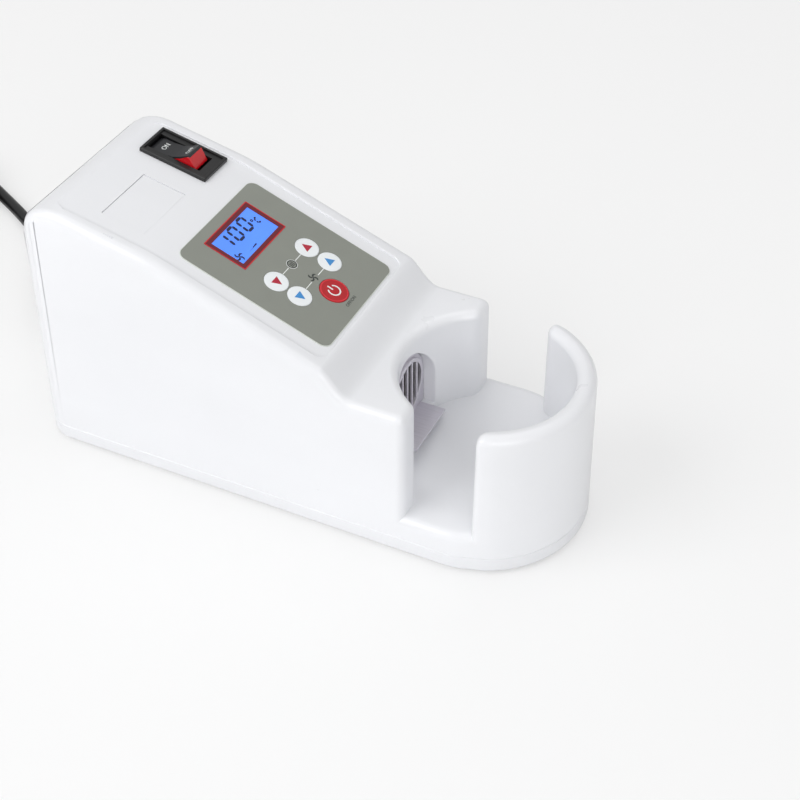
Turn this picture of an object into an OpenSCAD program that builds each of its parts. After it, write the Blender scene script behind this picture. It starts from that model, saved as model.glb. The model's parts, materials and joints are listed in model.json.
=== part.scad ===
// Eyeglass frame warmer: a hot air bench unit. A blower and heater in the body blow through
// an arched outlet into a round chamber behind a curved hood. Frames go in from either side.
// Frame: +X along the length towards the hood, +Y to the far side, +Z up, z = 0 on the table.

/* [Housing] */
// Length from the rear wall to the front of the hood
body_l = 265; // [260:1:275]
// Width over both sides at the parting line
body_w = 100; // [98:1:104]
// Height of the level top of the nose and the hood
nose_h = 79; // [77:0.5:81]
// Inward draft of the sides, millimetres per millimetre of height
draft = 0.02; // [0.01:0.005:0.03]
// Wall thickness of the mouldings
wall = 2.5; // [2:0.1:3]
// Radius of the upright rear corners
rear_r = 15; // [12:1:18]
// Height of the parting line between cover and tray
part_z = 9.3; // [8.5:0.1:10]
// How far the rubber feet lift the tray
foot_h = 1.5; // [1.2:0.1:2]

/* [Top panel] */
// Where the rear slope meets the keypad slope
kink_x = -60; // [-62:1:-58]
// Height of the panel at that line
kink_z = 123; // [122:0.5:124.5]
// Angle of the rear slope, which holds the switch
rear_tilt = 13.1; // [12:0.1:14]
// Angle of the keypad slope
key_tilt = 21.1; // [20:0.1:22]
// Depth of the panel below its raised rim
panel_drop = 1.0; // [0.6:0.1:1.2]

/* [Warming chamber] */
// Radius of the round chamber between nose and hood
chamber_r = 39.5; // [38:0.5:40]
// Flat end of the nose, where the side gaps begin
gap_x0 = 64.1; // [62:0.1:66]
// Ends of the hood, where the side gaps stop
gap_x1 = 95.5; // [94:0.1:98]
// Chamber floor height along the near side
floor_near = 21.5; // [20.5:0.5:22.5]
// Chamber floor height at the far side
floor_far = 32; // [30.5:0.5:32.5]

/* [Air path] */
// Height of the nozzle centre line
air_z = 51.5; // [51:0.5:52]
// Outer radius of the nozzle tube
tube_r = 16.5; // [16:0.1:17]
// Half width of the arched outlet in the chamber wall
arch_r = 20; // [19.5:0.1:20.5]
// Outer radius of the blower scroll
scroll_r = 38; // [37:0.5:39]
// Radius of the blower wheel
wheel_r = 30; // [28:0.5:31]

/* [Switch] */
// Length of the switch bezel along the slope
bezel_l = 35.7; // [34:0.1:37]
// Width of the switch bezel
bezel_w = 20.5; // [19:0.1:22]

/* [Mains cord] */
// Diameter of the cord
cord_d = 7; // [6.6:0.1:7]
// Turns in the coil, in two layers
coil_turns = 5.4; // [3.4:1:5.4]

/* [Hidden] */

$fn = 96;
eps = 0.01;
rear_x = -body_l / 2;
front_r = body_w / 2;
front_x = body_l / 2 - front_r;
top_z = 150;
inner_w = body_w / 2 - wall;
rim_x0 = -110;
rim_x1 = 22;
rim_half = 40;
rim_corner = 5;
curve_x0 = 23;
curve_x1 = 38.5;
rear_fillet = 22;

// Height of the recessed panel, and of the rim around it, at x
function panel_z(x) = kink_z - (x - kink_x) * tan(x < kink_x ? rear_tilt : key_tilt);
function rim_z(x) = panel_z(x) + panel_drop;
function ease(t) = t * t * (3 - 2 * t);
function mix(a, b, t) = a + (b - a) * t;
function curve_z(x) = mix(rim_z(x), nose_h, ease((x - curve_x0) / (curve_x1 - curve_x0)));

// ---------------------------------------------------------------- shared shapes

// The plan of the housing with drafted sides: rear corners and front end are cones
module drafted_plan(inset, z0, z1) {
    h = z1 - z0;
    half0 = body_w / 2 - inset - draft * z0;
    half1 = body_w / 2 - inset - draft * z1;
    rr0 = rear_r - inset - draft * z0;
    rr1 = rear_r - inset - draft * z1;
    cx = rear_x + rear_r;
    cy = body_w / 2 - rear_r;
    translate([cx, 0, 0]) rotate([90, 0, 90])
        linear_extrude(front_x - cx)
            polygon([[-half0, z0], [half0, z0], [half1, z1], [-half1, z1]]);
    rotate([90, 0, 0]) translate([0, 0, -cy]) linear_extrude(2 * cy)
        polygon([[cx - rr0, z0], [cx + 1, z0], [cx + 1, z1], [cx - rr1, z1]]);
    for (s = [-1, 1])
        translate([cx, s * cy, z0]) cylinder(h = h, r1 = rr0, r2 = rr1);
    translate([front_x, 0, z0]) cylinder(h = h, r1 = half0, r2 = half1);
}

// Side view of the top line, from the rear wall to past the hood, lowered by inset
module side_profile(inset, z0) {
    steps = 8;
    a0 = 180;
    a1 = 90 - rear_tilt;
    wall_x = rear_x + inset - 5;
    r = rear_fillet - inset;
    drop = inset + (inset > 0 ? panel_drop : 0);
    cz = (rim_z(rear_x + rear_fillet) - drop - r / cos(rear_tilt))
        / (1 + draft * tan(rear_tilt));
    cx = rear_x + rear_fillet + draft * cz;
    arc = [for (i = [0 : steps]) let (a = mix(a0, a1, i / steps))
        [cx + r * cos(a), cz + r * sin(a)]];
    curve = [for (i = [0 : 10]) let (x = mix(curve_x0, curve_x1, i / 10))
        [x, curve_z(x) - drop]];
    polygon(concat(
        [[wall_x, z0], [wall_x, cz]], arc,
        [[kink_x, rim_z(kink_x) - drop]], curve,
        [[rear_x + body_l + 5, nose_h - inset], [rear_x + body_l + 5, z0]]
    ));
}

module side_prism(inset, z0) {
    rotate([90, 0, 0]) translate([0, 0, -body_w]) linear_extrude(2 * body_w)
        side_profile(inset, z0);
}

// The chamber with its two side gaps, above a floor that rises to the far side
module chamber(grow) {
    ramp_y = -27;
    intersection() {
        union() {
            translate([front_x, 0, 0]) cylinder(h = top_z, r = chamber_r + grow);
            translate([gap_x0 - grow, -body_w, 0])
                cube([gap_x1 - gap_x0 + 2 * grow, 2 * body_w, top_z]);
        }
        rotate([90, 0, 90]) linear_extrude(body_l)
            polygon([
                [-body_w, floor_near - grow], [ramp_y, floor_near - grow],
                [body_w / 2, floor_far - grow], [body_w, floor_far - grow],
                [body_w, top_z], [-body_w, top_z]
            ]);
    }
}

// Outline of the arched outlet in the YZ plane, extruded along X
module arch_block(x0, x1, half, z_low) {
    translate([x0, 0, 0]) rotate([90, 0, 90]) linear_extrude(x1 - x0)
        union() {
            translate([0, air_z - 2]) circle(r = half);
            translate([-half, z_low]) square([2 * half, air_z - 2 - z_low]);
        }
}

// Places children on the panel: x is the station, local z is the outward normal
module on_rear_slope(x, y = 0) {
    translate([x, y, panel_z(x)]) rotate([0, rear_tilt, 0]) children();
}

// The same place for a point given in the switch's own directions
function at_switch(p) = [
    switch_x + p.x * cos(rear_tilt) + p.z * sin(rear_tilt), switch_y + p.y,
    panel_z(switch_x) - p.x * sin(rear_tilt) + p.z * cos(rear_tilt)
];

module on_key_slope(x, y = 0) {
    translate([x, y, panel_z(x)]) rotate([0, key_tilt, 0]) children();
}

module round_square(l, w, r) {
    square([l - 2 * r, w], center = true);
    square([l, w - 2 * r], center = true);
    for (sx = [-1, 1], sy = [-1, 1])
        translate([sx * (l / 2 - r), sy * (w / 2 - r)]) circle(r = r);
}

module round_plate(l, w, r, h) {
    linear_extrude(h) round_square(l, w, r);
}

module box(l, w, h) {
    translate([-l / 2, -w / 2, 0]) cube([l, w, h]);
}

// A pan head screw along -Z from its head, head on top of z = 0
module screw(d, l, head_d, head_h) {
    difference() {
        cylinder(h = head_h, d = head_d, $fn = 32);
        for (a = [0, 90]) rotate([0, 0, a])
            translate([0, 0, head_h]) box(head_d * 0.6, head_d * 0.16, head_h);
    }
    translate([0, 0, -l]) cylinder(h = l + eps, d = d, $fn = 32);
}

function unit(v) = v / norm(v);
function tangent(p, i) = unit(p[min(i + 1, len(p) - 1)] - p[max(i - 1, 0)]);

// One tube swept along points, its rings square to the run. up is never along the run.
module tube(points, r, sides, up = [0, 0, 1]) {
    n = len(points);
    rings = [for (i = [0 : n - 1]) let (
            t = tangent(points, i),
            a = unit(cross(up, t)),
            b = cross(t, a)
        ) for (k = [0 : sides - 1])
            let (w = 360 * (k + 0.5) / sides) points[i] + r * (cos(w) * a + sin(w) * b)];
    walls = [for (i = [0 : n - 2], k = [0 : sides - 1]) let (
            j = (k + 1) % sides, p = i * sides, q = p + sides
        ) each [[p + k, q + k, q + j], [p + k, q + j, p + j]]];
    ends = [for (k = [1 : sides - 2]) each [
            [0, k, k + 1],
            [(n - 1) * sides, (n - 1) * sides + k + 1, (n - 1) * sides + k]]];
    polyhedron(points = rings, faces = concat(walls, ends), convexity = 8);
}

// ---------------------------------------------------------------- housing

boss_xy = [[-104, 43.6], [-6, 43.6], [58, 43.6], [116, 0]];
function mirrored(list) = [for (p = list) each (p.y == 0 ? [p] : [p, [p.x, -p.y]])];
screw_xy = mirrored(boss_xy);
foot_xy = mirrored([[-112, 26], [96, 30]]);
key_row = [-14.3, -2.8];
key_y = 14.4;
key_d = 11.5;
power_x = 6.8;
power_d = 14;
key_cap = 1.2;
key_stem_d = 4.5;
key_l = 79;
key_w = 66;
key_x = -16.5;
lcd_x = -37.7;
lcd_out = [22.2, 37.4];
lcd_in = [17.1, 32.3];
switch_x = -85.1;
switch_y = 27;
badge_x = -81;
badge_y = -13.6;
badge = [22.4, 34.6];
relief_y = 22;
relief_z = 23.5;
shelf_z = 31.5;
switch_hole = [32.7, 17.9];
switch_hole_x = -1.1;
rim_round = 4.45;
board_depth = 10.5;
board_size = [72, 62, 1.6];
board_posts = [[-33, 28], [-33, -28], [33, 28], [33, -28]];

// Stations along the slope are measured from the middle of the keypad
function along(x) = (x - key_x) / cos(key_tilt);

module key_places() {
    for (x = key_row, s = [-1, 1])
        translate([along(x), s * key_y, 0]) children();
}

module upper_cover() {
    color("white")
    difference() {
        union() {
            difference() {
                intersection() {
                    drafted_plan(0, part_z, top_z);
                    side_prism(0, part_z - 1);
                }
                chamber(0);
                difference() {
                    intersection() {
                        drafted_plan(wall, part_z - 1, top_z);
                        side_prism(wall, 0);
                    }
                    chamber(wall);
                }
            }
            // Collar round the outlet, screw towers and board posts
            intersection() {
                difference() {
                    arch_block(37, 50, arch_r + 2, shelf_z - 2);
                    translate([front_x, 0, 0]) cylinder(h = top_z, r = chamber_r);
                }
                drafted_plan(1, 10, top_z);
            }
            for (p = screw_xy)
                translate([p.x, p.y, part_z + 2]) cylinder(h = p.y == 0 ? 12.5 : 30, d = 8);
            on_key_slope(key_x) for (p = board_posts)
                translate([p.x, p.y, -board_depth]) cylinder(h = board_depth - 1, d = 6);
        }
        // Shallow recess of the top panel
        intersection() {
            translate([(rim_x0 + rim_x1) / 2, 0, 60])
                round_plate(rim_x1 - rim_x0, 2 * rim_half, rim_corner, top_z);
            across(-body_w, body_w)
                polygon([
                    [rim_x0 - 1, panel_z(rim_x0 - 1)], [kink_x, kink_z],
                    [rim_x1 + 1, panel_z(rim_x1 + 1)], [rim_x1 + 1, top_z],
                    [rim_x0 - 1, top_z]
                ]);
        }
        on_rear_slope(badge_x, badge_y) translate([0, 0, -0.8]) box(badge.x, badge.y, 3);
        on_rear_slope(switch_x, switch_y) translate([switch_hole_x, 0, -5])
            box(switch_hole.x, switch_hole.y, 10);
        on_key_slope(lcd_x) translate([0, 0, -5]) box(lcd_in.x + 1.4, lcd_in.y + 1.4, 10);
        on_key_slope(key_x) {
            key_places() {
                translate([0, 0, -1.3]) cylinder(h = 5, d = key_d + 0.7);
                translate([0, 0, -5]) cylinder(h = 8, d = key_stem_d + 0.8);
            }
            translate([along(power_x), 0, 0]) {
                translate([0, 0, -1.3]) cylinder(h = 5, d = power_d + 0.7);
                translate([0, 0, -5]) cylinder(h = 8, d = key_stem_d + 0.8);
            }
            for (p = board_posts)
                translate([p.x, p.y, -board_depth - 1]) cylinder(h = 7, d = 2);
        }
        arch_block(30, 60, arch_r, shelf_z);
        // Full round along the rim of the hood
        intersection() {
            translate([front_x, 0, nose_h - rim_round]) rotate_extrude() difference() {
                translate([chamber_r - 1, 0]) square([front_r - chamber_r + 2, 10]);
                translate([chamber_r + rim_round, 0]) circle(r = rim_round);
            }
            translate([gap_x1 - 1, -body_w, 0]) cube([body_w, 2 * body_w, top_z]);
        }
        translate([rear_x - 5, relief_y, relief_z]) rotate([0, 90, 0])
            cylinder(h = 12, d = 11);
        for (p = screw_xy) translate([p.x, p.y, part_z]) cylinder(h = 10, d = 2.6);
    }
}

vent_rows = 5;
vent_slots = 6;

module base_tray() {
    lip = 1.2;
    color("whitesmoke")
    difference() {
        union() {
            difference() {
                drafted_plan(0, foot_h, part_z);
                drafted_plan(wall, foot_h + wall, part_z + 1);
            }
            // Register lip inside the cover
            difference() {
                drafted_plan(wall + 0.1, foot_h + 1, part_z + 1.2);
                drafted_plan(wall + lip, foot_h, part_z + 3);
            }
            intersection() {
                for (p = screw_xy)
                    translate([p.x, p.y, foot_h + 1]) cylinder(h = part_z + 1 - foot_h, d = 9);
                drafted_plan(wall + 0.1, foot_h, part_z + 3);
            }
            for (p = power_posts)
                translate([p.x, p.y, foot_h + 1]) cylinder(h = 8.9, d = 6);
        }
        for (i = [0 : vent_slots - 1], j = [0 : vent_rows - 1])
            translate([-98 + i * 8, -24 + j * 12, 0]) round_plate(3, 9, 1.4, 8);
        for (p = foot_xy) translate([p.x, p.y, 0]) cylinder(h = foot_h + 1, d = 14.2);
        for (p = screw_xy) translate([p.x, p.y, 0]) {
            cylinder(h = foot_h + 2.6, d = 6.4);
            cylinder(h = 12, d = 3.4);
        }
        for (p = power_posts) translate([p.x, p.y, foot_h + 2]) cylinder(h = 12, d = 2);
        for (y = bracket_y) translate([bracket_x + 9, y, foot_h + 1]) cylinder(h = 5, d = 2.2);
    }
}

module rubber_feet() {
    color("dimgray")
    for (p = foot_xy) translate([p.x, p.y, 0]) {
        cylinder(h = foot_h + 1, d = 14);
    }
}

module tray_screws() {
    color("silver")
    for (p = screw_xy) translate([p.x, p.y, foot_h + 2.6]) rotate([180, 0, 0])
        screw(2.6, 11, 6, 1.8);
}

module badge_plate() {
    color("white")
    on_rear_slope(badge_x, badge_y) translate([0, 0, -0.8])
        box(badge.x - 0.4, badge.y - 0.4, 0.5);
}

// ---------------------------------------------------------------- keypad and display

overlay_t = 0.5;

module keypad_overlay() {
    color("gray")
    on_key_slope(key_x) difference() {
        round_plate(key_l, key_w, 4.5, overlay_t);
        translate([along(lcd_x), 0, -1]) box(lcd_out.x, lcd_out.y, 4);
        key_places() translate([0, 0, -1]) cylinder(h = 4, d = key_d + 0.4);
        translate([along(power_x), 0, -1]) cylinder(h = 4, d = power_d + 0.4);
    }
}

module display_frame() {
    color("darkred")
    on_key_slope(lcd_x) difference() {
        box(lcd_out.x, lcd_out.y, overlay_t + 0.1);
        translate([0, 0, -1]) box(lcd_in.x, lcd_in.y, 4);
    }
}

module display_lens() {
    color("lightskyblue", 0.4)
    on_key_slope(lcd_x) box(lcd_in.x, lcd_in.y, overlay_t);
}

module lcd_module() {
    color("cornflowerblue")
    on_key_slope(lcd_x) {
        translate([0, 0, -3.6]) box(lcd_in.x + 0.8, lcd_in.y + 0.8, 3.5);
        translate([0, 0, -board_depth]) box(lcd_in.x + 4, lcd_in.y + 5, board_depth - 3.6);
    }
}

module control_board() {
    color("darkgreen")
    on_key_slope(key_x) difference() {
        translate([0, 0, -board_depth - board_size.z])
            box(board_size.x, board_size.y, board_size.z);
        for (p = board_posts) translate([p.x, p.y, -20]) cylinder(h = 20, d = 2.8);
    }
}

module board_screws() {
    color("silver")
    on_key_slope(key_x) for (p = board_posts)
        translate([p.x, p.y, -board_depth - board_size.z]) rotate([180, 0, 0])
            screw(2, 6, 4.4, 1.4);
}

module tact_switch() {
    box(6, 6, 3.5);
    translate([0, 0, 3.4]) cylinder(h = 1.1, d = 3.4, $fn = 32);
}

module tact_switches() {
    color("dimgray")
    on_key_slope(key_x) translate([0, 0, -board_depth]) {
        key_places() tact_switch();
        translate([along(power_x), 0, 0]) tact_switch();
    }
}

key_top = overlay_t + 0.2;
key_foot = -5.4;

module key_solid(d) {
    translate([0, 0, key_top - key_cap]) cylinder(h = key_cap, d = d);
    translate([0, 0, key_foot])
        cylinder(h = key_top - key_cap - key_foot + eps, d = key_stem_d);
}

module key_at(x, y) {
    on_key_slope(key_x) translate([along(x), y, 0]) key_solid(key_d);
}

module temp_down_key() { color("ghostwhite") key_at(key_row[0], -key_y); }
module temp_up_key() { color("ghostwhite") key_at(key_row[0], key_y); }
module fan_down_key() { color("ghostwhite") key_at(key_row[1], -key_y); }
module fan_up_key() { color("ghostwhite") key_at(key_row[1], key_y); }

module power_key() {
    color("crimson")
    on_key_slope(key_x) translate([along(power_x), 0, 0]) key_solid(power_d);
}

// ---------------------------------------------------------------- mains switch

well = [28, 11.6];
well_x = -2;
pivot = [-3.3, -3];
trunnion_r = 1.5;
rocker_w = 10.8;

module switch_body() {
    color([0.09, 0.09, 0.09])
    on_rear_slope(switch_x, switch_y) difference() {
        union() {
            // Bezel with a raised rim round the near side and both ends
            difference() {
                box(bezel_l, bezel_w, 2);
                translate([0, 0, 1.2]) box(bezel_l - 3, bezel_w - 3, 2);
            }
            translate([switch_hole_x, 0, -19])
                box(switch_hole.x - 0.5, switch_hole.y - 0.7, 19.5);
        }
        translate([well_x, 0, -13]) box(well.x, well.y, 20);
        translate([pivot.x, -7.6, pivot.y]) rotate([-90, 0, 0])
            cylinder(h = 15.2, r = trunnion_r + 0.05);
    }
}

// Side view of the rocker with its ON end pressed: saddle line, ridge, front face
saddle = [[-15.4, -0.8], [-13, 0.3], [-8, 0.4], [-3, 1.2], [1.2, 3.4], [5.1, 6.3]];
front_foot = [10.1, -0.4];
skin = 1.2;

module rocker() {
    color("red")
    on_rear_slope(switch_x, switch_y) rotate([90, 0, 0]) {
        translate([0, 0, -rocker_w / 2]) linear_extrude(rocker_w)
            polygon(concat(
                [for (p = saddle) [p.x, p.y - skin]],
                [[6.0, 5.1], front_foot, [6, -6], [-3.3, -7.5], [-12, -6.2]]
            ));
        translate([pivot.x, pivot.y, -rocker_w / 2 - 1.5])
            cylinder(h = rocker_w + 3, r = trunnion_r);
    }
}

module rocker_top() {
    color([0.2, 0.2, 0.2])
    on_rear_slope(switch_x, switch_y) rotate([90, 0, 0])
        translate([0, 0, -rocker_w / 2]) linear_extrude(rocker_w)
            polygon(concat(saddle, [[6.0, 5.1]],
                [for (i = [len(saddle) - 1 : -1 : 0]) [saddle[i].x, saddle[i].y - skin]]));
}

module switch_terminals() {
    color("gold")
    on_rear_slope(switch_x, switch_y) for (x = [-10, 0, 10], s = [-1, 1])
        translate([x, s * 4.5, -26]) box(0.8, 4.8, 7);
}

// ---------------------------------------------------------------- blower

scroll_x = -80;
scroll_z = 75.5;
scroll_half = 17;
duct_x = -36;
duct_half = 14;
shaft_r = 1.5;
lug_angles = [60, 140, 220];
motor_screw_r = 11;
flange_half = 21.5;
flange_screw_r = 19;

module scroll_outline(inset, x_end = duct_x) {
    union() {
        translate([scroll_x, scroll_z]) circle(r = scroll_r - inset);
        translate([scroll_x, air_z - duct_half + inset])
            square([x_end - scroll_x, 2 * (duct_half - inset)]);
    }
}

// The four places round the nozzle's axis where flange, bracket and duct are screwed
module flange_screw_places(x) {
    for (a = [0 : 90 : 270])
        translate([x, flange_screw_r * cos(a), air_z + flange_screw_r * sin(a)])
            rotate([0, 90, 0]) children();
}

// Extrudes an XZ outline from y0 to y1
module across(y0, y1) {
    translate([0, y1, 0]) rotate([90, 0, 0]) linear_extrude(y1 - y0) children();
}

module lug_places(r) {
    for (a = lug_angles)
        translate([scroll_x + r * cos(a), 0, scroll_z + r * sin(a)]) children();
}

module blower_housing() {
    color("darkslategray")
    difference() {
        union() {
            across(-scroll_half, scroll_half - 2) scroll_outline(0);
            lug_places(scroll_r + 2) across(3, scroll_half - 2) circle(d = 7);
            translate([duct_x - 2, -flange_half, air_z - flange_half])
                cube([2, 2 * flange_half, 2 * flange_half]);
        }
        difference() {
            across(-scroll_half + 2, scroll_half) scroll_outline(2);
            // Cut-off tongue where the scroll meets the duct
            across(-scroll_half, scroll_half)
                translate([scroll_x + 31.8, air_z + 9]) square([2.5, 8]);
        }
        translate([duct_x - 5, -scroll_half + 2, air_z - duct_half + 2])
            cube([10, 2 * scroll_half - 4, 2 * duct_half - 4]);
        across(-scroll_half - 1, 0) translate([scroll_x, scroll_z]) {
            circle(r = 4);
            for (s = [-1, 1]) translate([s * motor_screw_r, 0]) circle(r = 1.2);
        }
        lug_places(scroll_r + 2) across(4, 20) circle(r = 1.1);
        flange_screw_places(duct_x - 4) cylinder(h = 5, r = 1.1);
    }
}

module blower_cover() {
    color("slategray")
    difference() {
        union() {
            across(scroll_half - 2, scroll_half) scroll_outline(0, duct_x - 2.2);
            lug_places(scroll_r + 2) across(scroll_half - 2, scroll_half) circle(d = 7);
            // Inlet mouth
            across(scroll_half, scroll_half + 3) translate([scroll_x, scroll_z]) circle(r = 24);
        }
        across(0, 30) translate([scroll_x, scroll_z]) circle(r = 22);
        lug_places(scroll_r + 2) across(0, 30) circle(r = 1.4);
    }
}

module blower_screws() {
    color("silver")
    lug_places(scroll_r + 2) translate([0, scroll_half, 0]) rotate([-90, 0, 0])
        screw(2.2, 9, 4.4, 1.6);
}

blades = 18;

module impeller() {
    color("lightgray")
    translate([scroll_x, 0, scroll_z]) rotate([-90, 0, 0]) difference() {
        union() {
            translate([0, 0, -13]) cylinder(h = 1.5, r = wheel_r);
            translate([0, 0, -13]) cylinder(h = 11, r = 5);
            translate([0, 0, 10.5]) difference() {
                cylinder(h = 1.5, r = wheel_r);
                translate([0, 0, -1]) cylinder(h = 4, r = wheel_r - 5);
            }
            for (i = [0 : blades - 1]) rotate([0, 0, i * 360 / blades])
                translate([wheel_r - 3, 0, -12.5]) rotate([0, 0, 35]) box(6, 1.1, 24);
        }
        translate([0, 0, -14]) cylinder(h = 10, r = shaft_r);
    }
}

module motor_shaft() {
    color("silver")
    translate([scroll_x, 0, scroll_z]) rotate([-90, 0, 0])
        translate([0, 0, -38]) cylinder(h = 34, r = shaft_r);
}

module fan_motor() {
    color("silver")
    translate([scroll_x, 0, scroll_z]) rotate([90, 0, 0]) difference() {
        union() {
            translate([0, 0, scroll_half]) cylinder(h = 25, r = 17);
            translate([0, 0, scroll_half + 25]) cylinder(h = 2, r = 5);
            for (s = [-1, 1])
                translate([s * 8, 0, scroll_half + 25]) box(0.8, 4, 3);
        }
        translate([0, 0, 10]) cylinder(h = 28.5, r = shaft_r + 0.05);
        for (s = [-1, 1])
            translate([s * motor_screw_r, 0, 10]) cylinder(h = 12.5, r = 1);
    }
}

module motor_screws() {
    color("silver")
    translate([scroll_x, 2 - scroll_half, scroll_z]) rotate([-90, 0, 0])
        for (s = [-1, 1]) translate([s * motor_screw_r, 0, 0]) screw(2, 6, 4, 1);
}

// ---------------------------------------------------------------- heater

bracket_x = -36;
bracket_y = [-19, 19];
tray_top = foot_h + wall;

module blower_bracket() {
    color("lightsteelblue")
    difference() {
        union() {
            translate([bracket_x, -24, tray_top])
                cube([1.2, 48, air_z + flange_half + 1 - tray_top]);
            translate([bracket_x, -24, tray_top]) cube([14, 48, 1.2]);
        }
        translate([bracket_x - 1, -scroll_half + 2, air_z - duct_half + 2])
            cube([4, 2 * scroll_half - 4, 2 * duct_half - 4]);
        for (y = bracket_y) translate([bracket_x + 9, y, 0]) cylinder(h = 10, r = 1.4);
        flange_screw_places(bracket_x - 1) cylinder(h = 4, r = 1.3);
    }
}

module bracket_screws() {
    color("silver") {
        for (y = bracket_y) translate([bracket_x + 9, y, tray_top + 1.2])
            screw(2.2, 2.4, 4.6, 1.6);
        flange_screw_places(nozzle_x0 + 1.5) screw(2.2, 4.6, 4.2, 1.4);
    }
}

nozzle_x0 = bracket_x + 1.2;
nozzle_x1 = 41.2;

// A cylinder or ring along X about the nozzle's centre line
module air_ring(x0, x1, r, hole) {
    translate([x0, 0, air_z]) rotate([0, 90, 0]) difference() {
        cylinder(h = x1 - x0, r = r);
        translate([0, 0, -1]) cylinder(h = x1 - x0 + 2, r = hole);
    }
}

module nozzle_tube() {
    color("lightgray")
    difference() {
        union() {
            air_ring(nozzle_x0, nozzle_x1, tube_r, tube_r - 1);
            air_ring(nozzle_x0, nozzle_x0 + 1.5, flange_half, tube_r - 1);
        }
        flange_screw_places(nozzle_x0 - 1) cylinder(h = 4, r = 1.3);
    }
}

// Sleeve with an air gap round the hot part of the nozzle, closed at both ends
module heat_shield() {
    color("tan")
    union() {
        air_ring(-4, 34, tube_r + 3.5, tube_r + 2.5);
        air_ring(-4, -3, tube_r + 3.5, tube_r);
        air_ring(33, 34, tube_r + 3.5, tube_r);
    }
}

former_x0 = -26;
former_x1 = 32;
former_half = 13.6;

// Two crossed sheets, wider at both ends where they sit in the nozzle
module heater_former() {
    color("burlywood")
    translate([0, 0, air_z]) for (a = [0, 90]) rotate([a, 0, 0]) {
        translate([former_x0, -former_half, -0.5])
            cube([former_x1 - former_x0, 2 * former_half, 1]);
        for (x = [former_x0, former_x1 - 2.4])
            translate([x, -tube_r + 1.02, -0.5]) cube([2.4, 2 * tube_r - 2.04, 1]);
    }
}

helix_turns = 8;
helix_steps = 14;
helix_r = 14.65;
wire_r = 0.6;
helix = [for (i = [0 : helix_turns * helix_steps]) let (a = 360 * i / helix_steps)
    [mix(former_x0 + 4, former_x1 - 4, i / (helix_turns * helix_steps)),
     helix_r * cos(a), air_z + helix_r * sin(a)]];

module heater_coil() {
    color("sienna") tube(helix, wire_r, 6, [1, 0, 0]);
}

module thermal_cutout() {
    color("gainsboro")
    translate([-17, 0, air_z + tube_r]) {
        box(22, 9, 1.3);
        translate([0, 0, 1.2]) cylinder(h = 5, d = 13);
        for (s = [-1, 1]) translate([s * 3, 0, 6]) box(0.8, 4, 6);
    }
}

module temperature_sensor() {
    color("silver")
    translate([34, 0, air_z]) rotate([0, 90, 0]) {
        cylinder(h = 6, d = 3.2);
        box(1.2, 2 * tube_r - 2.06, 1.2);
    }
}

// Bent sheet: an upright arch behind the outlet and the flat shelf under the nozzle
plate_x = 42.4;
plate_t = 1.2;
shelf_x = 55.6;
shelf_half = 16;

module outlet_plate() {
    color("darkgray")
    difference() {
        union() {
            arch_block(plate_x - plate_t, plate_x, arch_r - 0.4, shelf_z + 0.3);
            translate([plate_x - plate_t, -shelf_half, shelf_z + 0.3])
                cube([shelf_x - plate_x + plate_t, 2 * shelf_half, 1.2]);
        }
        translate([plate_x - 5, 0, air_z]) rotate([0, 90, 0])
            cylinder(h = 10, r = tube_r - 1.6);
    }
}

grille_pitch = 5;
grille_r = tube_r - 0.2;
grille_bar = 1.5;

module outlet_grille() {
    color("silver")
    union() {
        air_ring(plate_x, plate_x + 1.4, grille_r, grille_r - 2);
        for (i = [-2 : 2]) let (y = i * grille_pitch,
            half = sqrt((grille_r - 1) * (grille_r - 1) - y * y))
            translate([plate_x, y - grille_bar / 2, air_z - half])
                cube([1.2, grille_bar, 2 * half]);
    }
}

// ---------------------------------------------------------------- power electronics

power_board_x = [-120, -50];
power_board_half = 38.5;
power_posts = [for (x = [-116, -54], y = [-35, 35]) [x, y]];
post_top = foot_h + 9.9;
board_t = 1.6;
board_top = post_top + board_t;

module power_board() {
    color("olivedrab")
    difference() {
        translate([power_board_x[0], -power_board_half, post_top])
            cube([power_board_x[1] - power_board_x[0], 2 * power_board_half, board_t]);
        for (p = power_posts) translate([p.x, p.y, 0]) cylinder(h = 30, d = 2.8);
    }
}

module power_board_screws() {
    color("silver")
    for (p = power_posts) translate([p.x, p.y, board_top]) screw(2, 7, 4.4, 1.4);
}

module transformer() {
    color("goldenrod")
    translate([-97, -24, board_top]) {
        box(30, 24, 5);
        translate([0, 0, 4.9]) box(22, 24, 11);
        translate([0, 0, 15.8]) box(30, 24, 5);
    }
}

module capacitor() {
    color("midnightblue")
    translate([-66, -27, board_top]) cylinder(h = 16, d = 12);
}

module heat_sink() {
    color("lightgray")
    translate([-72, 27, board_top]) {
        box(20, 2, 20);
        for (i = [-2 : 2]) translate([i * 4.4, 4, 0]) box(1.2, 7, 20);
    }
}

module terminal_block() {
    color("seagreen")
    translate([-106, 26, board_top]) difference() {
        box(10, 18, 11);
        for (i = [-1 : 1]) translate([0, i * 5.4, 4]) cylinder(h = 8, d = 3.6, $fn = 32);
    }
}

// ---------------------------------------------------------------- wiring

lead_r = 0.9;

module ribbon_cable() {
    drop = [[-50, 105.7], [-45.5, 93], [-41.5, 77], [-41, 48], [-45, 28],
            [-53, 20], [-54.5, board_top]];
    color("lightgray")
    translate([0, 25, 0]) rotate([90, 0, 0]) linear_extrude(7)
        polygon(concat([for (p = drop) [p.x - 0.5, p.y]],
            [for (i = [len(drop) - 1 : -1 : 0]) [drop[i].x + 0.5, drop[i].y]]));
}

module mains_wires() {
    color("saddlebrown")
    for (i = [-1 : 1])
        tube([[-129.1, relief_y + i * 2.6, relief_z], [-124, relief_y + i * 2.8, 23.5],
              [-117, 26 + i * 4.6, 23.6], [-111.2, 26 + i * 5.4, 22.6]], lead_r, 6);
}

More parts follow.
